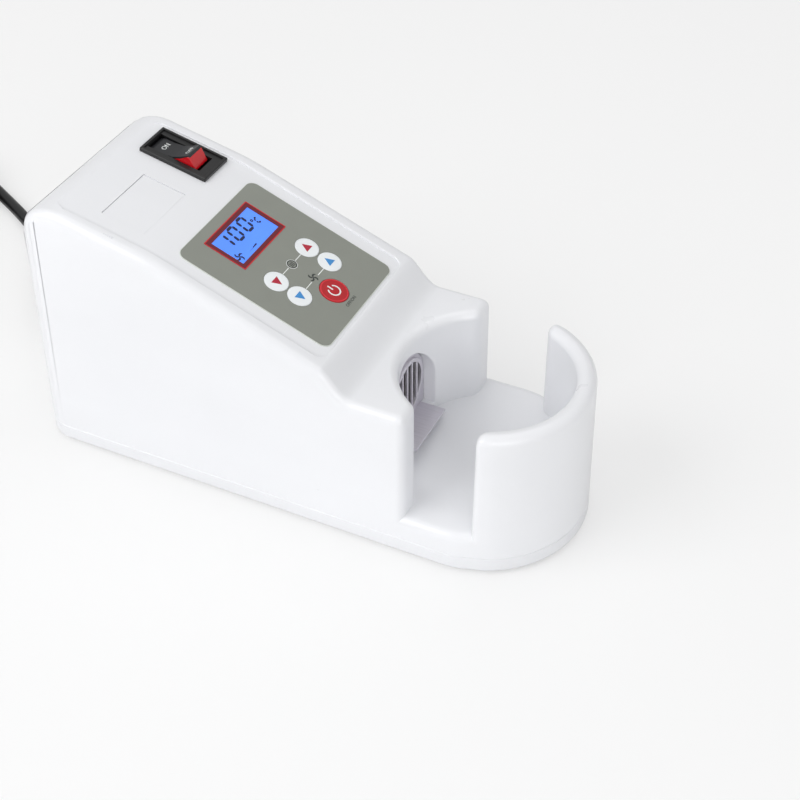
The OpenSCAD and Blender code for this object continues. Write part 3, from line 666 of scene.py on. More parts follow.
WIRE_GREY = Rubber("wire_grey", "wire_grey", srgb("8c8c8c"), 0.45, 0.1)
CORD_BLACK = Rubber("cord_black", "cord_black", srgb("121213"), 0.36, 0.2)

CAD_FINISHES = {
    f.slot: f
    for f in (
        HOUSING_WHITE, TRAY_WHITE, RUBBER_DARK, STEEL_ZINC, SHEET_STEEL, ALUMINIUM, NICKEL_PINS,
        FILM_GREY, KEY_WHITE, KEY_RED, FRAME_RED, DISPLAY_BLUE, PLASTIC_BLACK, ROCKER_RED,
        ROCKER_GREY, BLOWER_GREY, MICA_TAN, BOARD_GREEN, WIRE_GREY, CORD_BLACK,
    )
}


def make_piece(
    name: str,
    shape: Shape,
    finish: Finish,
    stands_for: Sequence[str] = (),
    body: str = ROOT,
) -> bpy.types.Object:
    """Makes a shape a finished piece that rides on a body of the frame.

    Args:
        name: the piece's name.
        shape: its mesh in millimetres.
        finish: its surface finish.
        stands_for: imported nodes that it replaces.
        body: the body that it rides on.

    Returns:
        The new object.
    """
    mesh = shape.mesh(name)
    mesh.polygons.foreach_set("use_smooth", [True] * len(mesh.polygons))
    mesh.set_sharp_from_angle(angle=SOFT_TURN)
    mesh.materials.append(finish.material())
    piece = new_object(name, mesh)
    even = piece.modifiers.new("even_shading", "WEIGHTED_NORMAL")
    even.keep_sharp = True
    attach(piece, body)
    if stands_for:
        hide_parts(*stands_for)
    LOG.info("%s: %d faces", name, len(mesh.polygons))
    return piece


# ---------------------------------------------------------------- the housing's form


@dataclass(frozen=True)
class Body:
    """Driving dimensions of the housing, in millimetres and degrees."""

    length: float = 265.0
    width: float = 100.0
    nose: float = 79.0
    draft: float = 0.02
    wall: float = 2.5
    rear_corner: float = 15.0
    rear_round: float = 22.0
    parting: float = 9.3
    lift: float = 1.5
    kink_x: float = -60.0
    kink_z: float = 123.0
    rear_tilt: float = 13.1
    key_tilt: float = 21.1
    drop: float = 1.0
    curve_x0: float = 23.0
    curve_x1: float = 38.5
    chamber: float = 39.5
    gap_x0: float = 64.1
    gap_x1: float = 95.5
    floor_near: float = 21.5
    floor_far: float = 32.0
    ramp_y: float = -27.0
    edge: float = 4.2
    top: float = 150.0
    air_z: float = 51.5

    @property
    def rear_x(self) -> float:
        """Where the rear wall is."""
        return -self.length / 2

    @property
    def front_x(self) -> float:
        """The middle of the round front and of the chamber."""
        return (self.length - self.width) / 2

    def tilt(self, x: float) -> float:
        """How far the top panel slopes at x, in radians."""
        return math.radians(self.rear_tilt if x < self.kink_x else self.key_tilt)

    def panel(self, x: float) -> float:
        """Height of the recessed top panel at x."""
        return self.kink_z - (x - self.kink_x) * math.tan(self.tilt(x))

    def rim(self, x: float) -> float:
        """Height of the raised rim round the panel at x."""
        return self.panel(x) + self.drop

    def plan(self, inset: float, z: float) -> list[tuple[float, float, float]]:
        """The housing's outline at height z, drawn in by inset.

        The round front has no corner point near the hood's ends, where wide rounds meet.
        """
        shrink = inset + self.draft * z
        corner = self.rear_corner - shrink
        x, y = self.rear_x + self.rear_corner, self.width / 2 - self.rear_corner
        middle, radius = (self.front_x, 0), self.width / 2 - shrink
        flat = arc((x, y), corner, 180, 90, 12)
        flat += arc(middle, radius, 90, 80, 2) + arc(middle, radius, 65.5, -65.5, 52)
        flat += arc(middle, radius, -80, -90, 2) + arc((x, -y), corner, -90, -180, 12)
        return [(px, py, z) for px, py in flat]

    def profile(self, inset: float, z0: float) -> list[Point]:
        """The top line from the rear wall to past the hood, lowered by inset, closed at z0."""
        tilt = math.radians(self.rear_tilt)
        radius = self.rear_round - inset
        drop = inset + (self.drop if inset > 0 else 0)
        start = self.rear_x + self.rear_round
        z = self.rim(start) - drop - radius / math.cos(tilt)
        z /= 1 + self.draft * math.tan(tilt)
        x = start + self.draft * z
        wall_x = self.rear_x + inset - 5
        points = [(wall_x, z0), (wall_x, z)]
        points += arc((x, z), radius, 180, 90 - self.rear_tilt, 10)
        points += self.kink(drop)
        points += [(px, self._curve(px) - drop) for px in self._curve_stations()]
        end = self.rear_x + self.length + 5
        return points + [(end, self.nose - inset), (end, z0)]

    def kink(self, drop: float) -> list[Point]:
        """The soft bend between the two slopes."""
        reach, steps = 7.0, 6
        low, mid, high = (self.rim(self.kink_x + side * reach) for side in (-1, 0, 1))
        bend = []
        for i in range(steps + 1):
            t = i / steps
            x = self.kink_x + reach * (2 * t - 1)
            z = (1 - t) ** 2 * low + 2 * t * (1 - t) * mid + t * t * high
            bend.append((x, z - drop))
        return bend

    def _curve_stations(self) -> list[float]:
        """Stations along the curve from the keypad slope down to the nose."""
        return [mix(self.curve_x0, self.curve_x1, i / 14) for i in range(15)]

    def _curve(self, x: float) -> float:
        """Height of that curve at x."""
        t = (x - self.curve_x0) / (self.curve_x1 - self.curve_x0)
        return mix(self.rim(x), self.nose, ease(t))

    def chamber_tool(self, grow: float) -> Shape:
        """What the chamber and its side gaps take out of the housing, grown by grow."""
        radius, wide = self.chamber + grow, self.width
        x0, x1, middle = self.gap_x0 - grow, self.gap_x1 + grow, (self.front_x, 0)
        back = math.acos((x0 - self.front_x) / radius)
        front = math.acos((x1 - self.front_x) / radius)
        y0, y1 = radius * math.sin(back), radius * math.sin(front)
        back, front = math.degrees(back) + 7, math.degrees(front) - 7
        outline = [(x1, -wide), (x1, -y1)] + arc(middle, radius, -front, front, 50)
        outline += [(x1, y1), (x1, wide), (x0, wide), (x0, y0)]
        outline += arc(middle, radius, back, 360 - back, 44) + [(x0, -y0), (x0, -wide)]
        near, far, half = self.floor_near - grow, self.floor_far - grow, self.width / 2
        ramp = [(-2 * wide, near), (self.ramp_y, near), (half, far), (2 * wide, far)]
        ramp += [(2 * wide, self.top + 10), (-2 * wide, self.top + 10)]
        hollow = Shape.plate(outline, 0, self.top)
        return hollow.joined(Shape.along(ramp, 0, self.length), Join.KEEP)

    def column(self, inset: float, z0: float, z1: float) -> Shape:
        """The housing's outline, drawn in by inset, made solid from z0 to z1."""
        return Shape.loft([self.plan(inset, z0), self.plan(inset, z1)])

    def solid(self, inset: float, z0: float) -> Shape:
        """The housing's body above z0, drawn in by inset, before the chamber is taken out."""
        block = self.column(inset, z0, self.top)
        side = Shape.across(self.profile(inset, z0 - 5), -self.width, self.width)
        return block.joined(side, Join.KEEP)

    def slope(self, x: float, y: float = 0.0) -> Matrix:
        """Places a shape on the top panel at x, its Z square to the slope there."""
        turn = Matrix.Rotation(self.tilt(x), 4, "Y")
        return Matrix.Translation((x, y, self.panel(x))) @ turn


BODY = Body()
KEYPAD_X = -16.5
DISPLAY_X = -37.7
SWITCH_AT: Point = (-85.1, 27.0)
BADGE_AT: Point = (-81.0, -13.6)
CORD_YZ: Point = (22.0, 23.5)


def arch_outline(half: float, z_low: float, steps: int = 40) -> list[Point]:
    """The outlet's arch in the YZ plane: round above, straight sides down to z_low."""
    crown = arc((0, BODY.air_z - 2), half, 0, 180, steps)
    return [(half, z_low)] + crown + [(-half, z_low)]


@dataclass
class Cover:
    """The white upper moulding with its panel, chamber and hood."""

    rim_x0: float = -110.0
    rim_x1: float = 22.0
    rim_half: float = 40.0
    rim_corner: float = 5.0
    arch: float = 20.0
    shelf_z: float = 31.5
    bosses: Sequence[Point] = ((-104, 43.6), (-6, 43.6), (58, 43.6), (116, 0))
    steps: int = 5

    def build(self) -> None:
        """Makes the cover."""
        shape = self.skin().cut(self.inside())
        shape = shape.plus(self.collar(), *self.towers())
        shape = shape.cut(self.recess()).simplified()
        shape.rounded(0.55, self._on_recess_rim, 3)
        shape = shape.cut(*self.openings())
        shape.rounded(0.7, self._on_arch, 3)
        shape.rounded(0.4, lambda p: p.z < BODY.parting + 0.05, 1)
        make_piece("housing_cover", shape, HOUSING_WHITE, ["upper_cover"])

    def skin(self) -> Shape:
        """The outer form as a solid, with all its outer edges rounded."""
        shape = BODY.solid(0, BODY.parting).cut(BODY.chamber_tool(0)).simplified()
        return shape.rounded(BODY.edge, self._on_outer_edge, self.steps)

    @staticmethod
    def _on_outer_edge(p: Vector) -> bool:
        """True on the edges that the mould rounds generously."""
        if p.z < BODY.parting + 5:
            return False
        in_chamber = math.hypot(p.x - BODY.front_x, p.y) < BODY.chamber + 0.4
        on_top = p.z > BODY.nose - 0.1
        on_face = min(abs(p.x - BODY.gap_x0), abs(p.x - BODY.gap_x1)) < 0.05
        return on_top or on_face or not in_chamber

    def inside(self) -> Shape:
        """The hollow of the shell."""
        hollow = BODY.solid(BODY.wall, BODY.parting - 1)
        return hollow.cut(BODY.chamber_tool(BODY.wall)).simplified()

    def collar(self) -> Shape:
        """The tunnel round the outlet, rooted in the chamber's wall."""
        block = Shape.along(arch_outline(self.arch + 2, self.shelf_z - 2), 37, 50)
        root = Shape.cylinder(BODY.chamber + 1.1, 0, BODY.top, 112).at(BODY.front_x, 0)
        return block.cut(root)

    def boss_places(self) -> list[Point]:
        """Where the seven screws are."""
        return [(x, s * y) for x, y in self.bosses for s in ((-1, 1) if y else (1,))]

    def towers(self) -> list[Shape]:
        """The screw towers that meet the tray, a short one under the hood."""
        base = BODY.parting + 2
        return [
            Shape.cylinder(4, 0, 30 if y else 12.5, 32).at(x, y, base)
            for x, y in self.boss_places()
        ]

    def recess(self) -> Shape:
        """The shallow recess of the top panel."""
        length = self.rim_x1 - self.rim_x0
        outline = round_square(length, 2 * self.rim_half, self.rim_corner, 8)
        column = Shape.plate(outline, 50, BODY.top).at((self.rim_x0 + self.rim_x1) / 2, 0)
        bend = BODY.kink(BODY.drop)
        ends = [(x, BODY.panel(x)) for x in (self.rim_x0 - 1, self.rim_x1 + 1)]
        side = [ends[0], *bend, ends[1], (self.rim_x1 + 1, 200), (self.rim_x0 - 1, 200)]
        return column.joined(Shape.across(side, -60, 60), Join.KEEP)

    def _on_recess_rim(self, p: Vector) -> bool:
        """True on the upper edge of the recess."""
        inside = self.rim_x0 - 0.1 < p.x < self.rim_x1 + 0.1 and abs(p.y) < self.rim_half + 0.1
        return inside and p.z > BODY.rim(p.x) - 0.25

    def _on_arch(self, p: Vector) -> bool:
        """True on the outlet's edge in the chamber wall."""
        on_wall = abs(math.hypot(p.x - BODY.front_x, p.y) - BODY.chamber) < 0.15
        return on_wall and p.x < 60 and p.z < 72 and abs(p.y) < self.arch + 0.2

    def openings(self) -> list[Shape]:
        """Pocket for the plate, holes for switch, display, keys, outlet and cord, a mould mark."""
        rear_wall = Matrix.Translation((BODY.rear_x, *CORD_YZ)) @ Z_TO_X
        near_rim = Matrix.Translation((0, 0, BODY.drop)) @ BODY.slope(-80.5, -43.2)
        cuts = [
            Shape.box((-11.2, -17.3, -0.8), (11.2, 17.3, 3)).placed(BODY.slope(*BADGE_AT)),
            Shape.box((-17.45, -8.95, -5), (15.25, 8.95, 5)).placed(BODY.slope(*SWITCH_AT)),
            Shape.box((-9.25, -16.85, -5), (9.25, 16.85, 5)).placed(BODY.slope(DISPLAY_X)),
            Shape.along(arch_outline(self.arch, self.shelf_z), 30, 60),
            Shape.cylinder(5.5, -5, 7, 40).placed(rear_wall),
            Shape.box((-2.6, -0.35, -0.4), (2.6, 0.35, 2)).placed(near_rim),
        ]
        for key in KEYS:
            cuts.append(Shape.cylinder(key.d / 2 + 0.35, -1.3, 4).placed(key.place()))
            cuts.append(Shape.cylinder(2.65, -5, 0).placed(key.place()))
        return cuts


@dataclass
class Tray:
    """The lower moulding, its feet and screws."""

    bottom_edge: float = 1.6
    lip: float = 1.2

    def build(self) -> None:
        """Makes the tray and the feet."""
        make_piece("housing_tray", self.shell(), TRAY_WHITE, ["base_tray"])
        feet = Shape()
        for x, y in self.foot_places():
            foot = Shape.cylinder(7, 0, BODY.lift + 1).rounded(0.5, segments=3)
            feet.and_also(foot.at(x, y))
        make_piece("table_feet", feet, RUBBER_DARK, ["rubber_feet"])

    @staticmethod
    def foot_places() -> list[Point]:
        """Where the four feet are."""
        return [(x, s * y) for x, y in ((-112, 26), (96, 30)) for s in (-1, 1)]

    def shell(self) -> Shape:
        """The tray as a hollow shell with lip, bosses, vents and recesses."""
        low, top = BODY.lift, BODY.parting
        outer = BODY.column(0, low, top)
        outer.rounded(self.bottom_edge, lambda p: p.z < low + 0.1, 4)
        outer.rounded(0.4, lambda p: p.z > top - 0.1, 1)
        hollow = BODY.column(BODY.wall, low + BODY.wall, top + 1)
        rim = BODY.column(BODY.wall + 0.1, low + 1, top + 1.2)
        rim = rim.cut(BODY.column(BODY.wall + self.lip, low, top + 3))
        shell = outer.cut(hollow).plus(rim)
        for x, y in COVER.boss_places():
            shell = shell.plus(Shape.cylinder(4.5, low + 1, top + 1.9, 32).at(x, y))
        for x in (-116, -54):
            for y in (-35, 35):
                shell = shell.plus(Shape.cylinder(3, low + 1, low + 9.9, 24).at(x, y))
        holes = Shape()
        for x, y in self.foot_places():
            holes.and_also(Shape.cylinder(7.1, -1, low + 1).at(x, y))
        for x, y in COVER.boss_places():
            holes.and_also(Shape.cylinder(3.2, -1, low + 2.6, 32).at(x, y))
        for i in range(6):
            for j in range(5):
                slot = Shape.plate(round_square(3, 9, 1.4), -1, 8)
                holes.and_also(slot.at(-98 + i * 8, -24 + j * 12))
        return shell.cut(holes)


# ---------------------------------------------------------------- keypad


FILM_TOP = 0.5


def station(x: float) -> float:
    """Distance down the slope from the keypad's middle to the place above x."""
    return (x - KEYPAD_X) / math.cos(math.radians(BODY.key_tilt))


@dataclass(frozen=True)
class Key:
    """A membrane key: its body, its place, its width and how far its disc stands up."""

    body: str
    x: float
    y: float
    d: float
    top: float = 0.7

    def place(self) -> Matrix:
        """Places a shape on the key's spot, its Z along the push."""
        return BODY.slope(KEYPAD_X) @ Matrix.Translation((station(self.x), self.y, 0))


KEYS = (
    Key("temp_down", -14.3, -14.4, 11.5),
    Key("temp_up", -14.3, 14.4, 11.5),
    Key("fan_down", -2.8, -14.4, 11.5),
    Key("fan_up", -2.8, 14.4, 11.5),
    Key("power", 6.8, 0.0, 14.0),
)


def print_place(x: float, y: float, z: float) -> Matrix:
    """Places artwork on the keypad so that it reads from the near to the far side."""
    return BODY.slope(KEYPAD_X) @ Matrix.Translation((station(x), y, z)) @ READING


@dataclass
class Keypad:
    """The printed film with its keys and signs."""

    length: float = 79.0
    width: float = 66.0
    corner: float = 4.5
    ink: float = 0.05

    def build(self) -> None:
        """Makes the film, the keys and all printed signs."""
        self.build_film()
        for key in KEYS:
            self.build_key(key)
        self.build_signs()

    def build_film(self) -> None:
        """The pale carrier and the grey printed film on it."""
        for name, inset, z0, z1, finish, stands in (
            ("keypad_carrier", 0.0, 0.0, 0.4, FILM_EDGE, ["keypad_overlay"]),
            ("keypad_film", 0.35, 0.4, FILM_TOP, FILM_GREY, []),
        ):
            outline = round_square(
                self.length - 2 * inset, self.width - 2 * inset, self.corner - inset, 8
            )
            film = Shape.plate(outline, z0, z1)
            if not inset:
                film.rounded(0.12, lambda p: p.z > 0.3, 2)
            middle = station(DISPLAY_X)
            holes = Shape.box((middle - 11.1, -18.7, -1), (middle + 11.1, 18.7, 2))
            for key in KEYS:
                holes.and_also(Shape.cylinder(key.d / 2 + 0.2, -1, 2).at(station(key.x), key.y))
            make_piece(name, film.cut(holes).placed(BODY.slope(KEYPAD_X)), finish, stands)

    def build_key(self, key: Key) -> None:
        """One key: its disc on a stem and the sign printed on it."""
        power = key.body == "power"
        profile = [(0, -5.4), (2.25, -5.4), (2.25, -0.5), (key.d / 2, -0.5), (key.d / 2, 0.5)]
        profile += [(key.d / 2 - 0.15, 0.63), (key.d / 2 - 0.5, key.top), (0, key.top)]
        cap = Shape.turned(profile, 64).placed(key.place())
        finish = KEY_RED if power else KEY_WHITE
        make_piece(f"{key.body}_disc", cap, finish, [f"{key.body}_key"], key.body)
        if power:
            inner, outer = key.d / 2 - 0.9, key.d / 2 - 0.35
            ring = Shape.ring(inner, outer, key.top, key.top + self.ink, 64)
            make_piece("power_ring", ring.placed(key.place()), KEY_RING, (), key.body)
            sign = self.power_sign(key.top).placed(key.place() @ READING)
            make_piece("power_sign", sign, INK_WHITE, (), key.body)
            return
        up = key.body.endswith("up")
        ink = INK_RED if key.body.startswith("temp") else INK_BLUE
        arrow = Shape.plate(arc((0, 0), 2.9, 90, 450, 3)[:3], key.top, key.top + self.ink)
        turn = Matrix.Rotation(0 if up else math.pi, 4, "Z")
        arrow.placed(key.place() @ READING @ turn)
        make_piece(f"{key.body}_arrow", arrow, ink, (), key.body)

    def power_sign(self, z: float) -> Shape:
        """The open ring with a bar that marks a power key."""
        inner, outer = 2.5, 3.2
        outline = arc((0, 0), outer, 128, 412, 40) + arc((0, 0), inner, 412, 128, 40)
        sign = Shape.plate(outline, z, z + self.ink)
        return sign.and_also(Shape.plate(self._bar(0.7, 3.2, 0, 2.2), z, z + self.ink))

    @staticmethod
    def _bar(width: float, height: float, x: float, y: float) -> list[Point]:
        """Outline of a bar with round ends about a point."""
        radius = min(width, height) / 2 * 0.98
        return [(px + x, py + y) for px, py in round_square(width, height, radius, 4)]

    def build_signs(self) -> None:
        """The lines and signs printed between the keys, a painted highlight round the heater sign,
        and ON and OFF under the power key.
        """
        z0, z1 = FILM_TOP, FILM_TOP + self.ink
        lines = Shape()
        for x, reach in ((-14.3, 3.2), (-2.8, 3.0)):
            for side in (-1, 1):
                near, far = reach, 14.4 - 5.95
                bar = Shape.plate(self._bar(far - near, 0.4, side * (near + far) / 2, 0), z0, z1)
                lines.and_also(bar.placed(print_place(x, 0, 0)))
        make_piece("sign_lines", lines, INK_WHITE)
        heater = Shape.ring(1.9, 2.5, z0, z1, 40)
        for u in (-0.9, 0.0, 0.9):
            heater.and_also(Shape.plate(self._bar(0.45, 2.6, u, 0), z0, z1))
        make_piece("heater_sign", heater.placed(print_place(-14.3, 0, 0)), INK_DARK)
        # Painted highlight: a thin white ring round the dark heater sign stands in for light
        # catching its edge.
        edge = Shape.ring(2.5, 2.72, z0, z1, 40)
        make_piece("heater_sign_painted_highlight", edge.placed(print_place(-14.3, 0, 0)), INK_WHITE)
        fan = fan_sign(2.6, z0, z1)
        make_piece("fan_sign", fan.placed(print_place(-3.7, 0, 0)), INK_DARK)
        words = Shape.lettering("OFF/ON", 1.6, self.ink).placed(print_place(15.2, 0, z1))
        make_piece("power_words", words, INK_DARK)


def fan_sign(radius: float, z0: float, z1: float) -> Shape:
    """Four curved blades about the origin."""
    sign = Shape()
    for i in range(4):
        blade = arc((radius * 0.5, 0), radius * 0.5, 180, 0, 10)
        blade += arc((radius * 0.55, 0.05 * radius), radius * 0.14, 0, 180, 6)[1:]
        petal = Shape.plate(blade[:-1], z0, z1)
        sign.and_also(petal.placed(Matrix.Rotation(math.tau * i / 4, 4, "Z")))
    return sign


@dataclass
class Display:
    """The lit window with its red frame and the reading on it."""

    outer: Point = (22.2, 37.4)
    inner: Point = (17.1, 32.3)
    pitch: float = 8.1
    digit: Point = (5.8, 9.0)
    stroke: float = 1.4
    slant: float = 0.1
    segments: Mapping[str, str] = field(
        default_factory=lambda: {"1": "bc", "0": "abcdef", "C": "adef"}
    )

    def build(self) -> None:
        """Makes the frame, the window and the reading."""
        (lo, wo), (li, wi) = self.outer, self.inner
        place = BODY.slope(DISPLAY_X)
        border = Shape.plate(round_square(lo, wo, 0.3, 2), 0, FILM_TOP + 0.1)
        border.rounded(0.12, lambda p: p.z > FILM_TOP, 2)
        hole = Shape.box((-li / 2, -wi / 2, -1), (li / 2, wi / 2, 4))
        make_piece("display_border", border.cut(hole).placed(place), FRAME_RED, ["display_frame"])
        line = Shape.plate(round_square(lo, wo, 0.3, 2), FILM_TOP + 0.1, FILM_TOP + 0.13)
        gap = Shape.box((-lo / 2 + 0.5, -wo / 2 + 0.5, 0), (lo / 2 - 0.5, wo / 2 - 0.5, 4))
        make_piece("display_outline", line.cut(gap).placed(place), FRAME_LINE)
        window = Shape.box((-li / 2, -wi / 2, 0), (li / 2, wi / 2, FILM_TOP - 0.1))
        make_piece("display_window", window.placed(place), DISPLAY_BLUE, ["display_lens"])
        make_piece("display_reading", self.reading(), INK_NAVY)

    def reading(self) -> Shape:
        """The figures, the degree sign, the fan sign and the level bar."""
        z0, z1 = FILM_TOP - 0.1, FILM_TOP - 0.04
        marks = Shape()
        for i, figure in enumerate("100"):
            place = print_place(-41.2, -10.5 + i * self.pitch, 0)
            marks.and_also(self.figure(figure, *self.digit, self.stroke, z0, z1).placed(place))
        small = self.figure("C", 2.8, 4.0, 0.95, z0, z1)
        marks.and_also(small.placed(print_place(-38.6, 12.6, 0)))
        degree = Shape.ring(0.3, 0.8, z0, z1, 16)
        marks.and_also(degree.placed(print_place(-40.2, 10.2, 0)))
        marks.and_also(fan_sign(2.6, z0, z1).placed(print_place(-33.0, -13.6, 0)))
        bar = [(-3.3, -0.25), (0.0, -0.15), (0.2, 0.1), (3.3, 0.45), (3.3, -0.35)]
        marks.and_also(Shape.plate(bar, z0, z1).placed(print_place(-31.7, -4.1, 0)))
        return marks

    def figure(
        self, sign: str, width: float, height: float, stroke: float, z0: float, z1: float
    ) -> Shape:
        """One figure about the origin, made of the bars that segments names for it."""
        w, h = width / 2 - stroke / 2, height / 2 - stroke / 2
        bars = {
            "a": (0, h, 0), "b": (w, h / 2, 1), "c": (w, -h / 2, 1),
            "d": (0, -h, 0), "e": (-w, -h / 2, 1), "f": (-w, h / 2, 1),
        }
        marks = Shape()
        for name in self.segments[sign]:
            u, v, upright = bars[name]
            reach = (h if upright else 2 * w) - 0.25 * stroke
            tip, flat = reach / 2, reach / 2 - stroke / 2
            side = stroke / 2
            outline = [
                (-tip, 0), (-flat, -side), (flat, -side), (tip, 0), (flat, side), (-flat, side)
            ]
            bar = Shape.plate(outline, z0, z1)
            turn = Matrix.Rotation(math.pi / 2 if upright else 0, 4, "Z")
            marks.and_also(bar.placed(Matrix.Translation((u, v, 0)) @ turn))
        lean = Matrix.Identity(4)
        lean[0][1] = self.slant
        return marks.placed(lean)


# ---------------------------------------------------------------- mains switch


@dataclass
class MainsSwitch:
    """The rocker switch on the rear slope and the plate beside it."""

    bezel: Point = (35.7, 20.5)
    well: Point = (28.0, 11.6)
    well_x: float = -2.0
    pivot: Point = (-3.3, -3.0)
    rocker_w: float = 10.8
    skin: float = 1.2
    saddle: Sequence[Point] = (
        (-15.4, -0.8), (-13, 0.3), (-8, 0.4), (-3, 1.2), (1.2, 3.4), (5.1, 6.3)
    )

    def build(self) -> None:
        """Makes the switch body, the rocker with its cap, and the blank plate."""
        place, moving = BODY.slope(*SWITCH_AT), "switch_rocker"
        make_piece("switch_case", self.case().placed(place), PLASTIC_BLACK, ["switch_body"])
        make_piece("rocker_key", self.rocker().placed(place), ROCKER_RED, ["rocker"], moving)
        make_piece("rocker_cap", self.cap().placed(place), ROCKER_GREY, ["rocker_top"], moving)
        for name, words, x, z, tilt in (
            ("rocker_on", "ON", -9.6, 0.44, 3.0), ("rocker_off", "OFF", 2.9, 4.72, 36.6)
        ):
            spot = Matrix.Translation((x, 0, z)) @ Matrix.Rotation(-math.radians(tilt), 4, "Y")
            sign = Shape.lettering(words, 2.4, 0.06).placed(place @ spot @ READING)
            make_piece(name, sign, INK_WHITE, (), moving)
        plate = Shape.plate(round_square(22.0, 34.2, 0.5, 3), -0.8, -0.3)
        plate.rounded(0.12, lambda p: p.z > -0.4, 2)
        plate.placed(BODY.slope(*BADGE_AT))
        make_piece("blank_plate", plate, HOUSING_WHITE, ["badge_plate"])

    def case(self) -> Shape:
        """The case: a bezel with a raised rim over the body in the panel."""
        x, y, rim = self.bezel[0] / 2, self.bezel[1] / 2, 1.5
        bezel = Shape.box((-x, -y, 0), (x, y, 2))
        bezel.rounded(0.5, lambda p: p.z > 0.5, 3)
        pan = Shape.box((-x + rim, -y + rim, 1.2), (x - rim, y - rim, 5))
        under = Shape.box((-17.2, -8.6, -19), (15.0, 8.6, 1))
        x, half = self.well_x, (self.well[0] / 2, self.well[1] / 2)
        well = Shape.box((x - half[0], -half[1], -13), (x + half[0], half[1], 7))
        case = bezel.cut(pan).plus(under).cut(well).simplified()
        case.rounded(0.25, lambda p: p.z > 1.0, 2)
        return case.cut(self._axle(1.55, 7.6))

    def _axle(self, radius: float, reach: float) -> Shape:
        """A round bar on the rocker's axis that reaches as far to both sides."""
        spot = Matrix.Translation((self.pivot[0], 0, self.pivot[1]))
        return Shape.cylinder(radius, -reach, reach, 24).placed(spot @ Z_TO_MINUS_Y)

    def rocker(self) -> Shape:
        """The red rocker under the cap, with its two trunnions."""
        side = [(x, z - self.skin) for x, z in self.saddle]
        side += [(6.0, 5.1), (10.1, -0.4), (6, -6), (-3.3, -7.5), (-12, -6.2)]
        half = self.rocker_w / 2
        rocker = Shape.across(side, -half, half)
        rocker.rounded(0.45, lambda p: p.x > 5.2 and p.z > -1.0, 3)
        return rocker.plus(self._axle(1.5, half + 1.5))

    def cap(self) -> Shape:
        """The grey cap on the rocker's saddle."""
        side = list(self.saddle) + [(6.0, 5.1)]
        side += [(x, z - self.skin) for x, z in reversed(self.saddle)]
        half = self.rocker_w / 2
        cap = Shape.across(side, -half, half)
        return cap.rounded(0.3, lambda p: abs(p.y) > half - 0.1, 2)


# ---------------------------------------------------------------- outlet


@dataclass
class Outlet:
    """The metal outlet behind the arch: bent plate, shelf and grille."""

    plate_x: float = 42.4
    gauge: float = 1.2
    shelf_x: float = 55.6
    shelf_half: float = 16.0
    shelf_z: float = 31.8
    tube: float = 16.5
    bar: float = 1.5
    pitch: float = 5.0

    def build(self) -> None:
        """Makes the plate with its shelf, and the grille."""
        make_piece("outlet_shield", self.plate(), OUTLET_SHEET, ["outlet_plate"])
        make_piece("outlet_bars", self.grille(), OUTLET_SHEET, ["outlet_grille"])

    def plate(self) -> Shape:
        """The upright arch and the shelf as one bent sheet."""
        x0, half, z = self.plate_x - self.gauge, self.shelf_half, self.shelf_z
        arch = Shape.along(arch_outline(19.6, z), x0, self.plate_x)
        shelf = Shape.box((x0, -half, z), (self.shelf_x, half, z + self.gauge))
        bore = Shape.cylinder(self.tube - 1.6, -8, 8, 64).placed(self._axis(self.plate_x))
        sheet = arch.plus(shelf).cut(bore).simplified()
        return sheet.rounded(0.25, lambda p: p.x > self.plate_x + 1, 2)

    @staticmethod
    def _axis(x: float) -> Matrix:
        """Turns Z to the way the air blows, at x on the nozzle's centre line."""
        return Matrix.Translation((x, 0, BODY.air_z)) @ Z_TO_X

    def grille(self) -> Shape:
        """A ring with upright bars."""
        outer, inner = self.tube - 0.2, self.tube - 2.2
        ring = Shape.ring(inner, outer, 0, 1.4, 64)
        ring.rounded(0.3, lambda p: p.z > 1.3, 2)
        ring.placed(self._axis(self.plate_x))
        for i in range(-2, 3):
            y = i * self.pitch
            half = math.sqrt((outer - 0.8) ** 2 - y * y)
            bar = Shape.box(
                (self.plate_x, y - self.bar / 2, BODY.air_z - half),
                (self.plate_x + 1.2, y + self.bar / 2, BODY.air_z + half),
            )
            ring.and_also(bar.rounded(0.3, lambda p: p.x > self.plate_x + 1, 2))
        return ring


# ---------------------------------------------------------------- mains lead


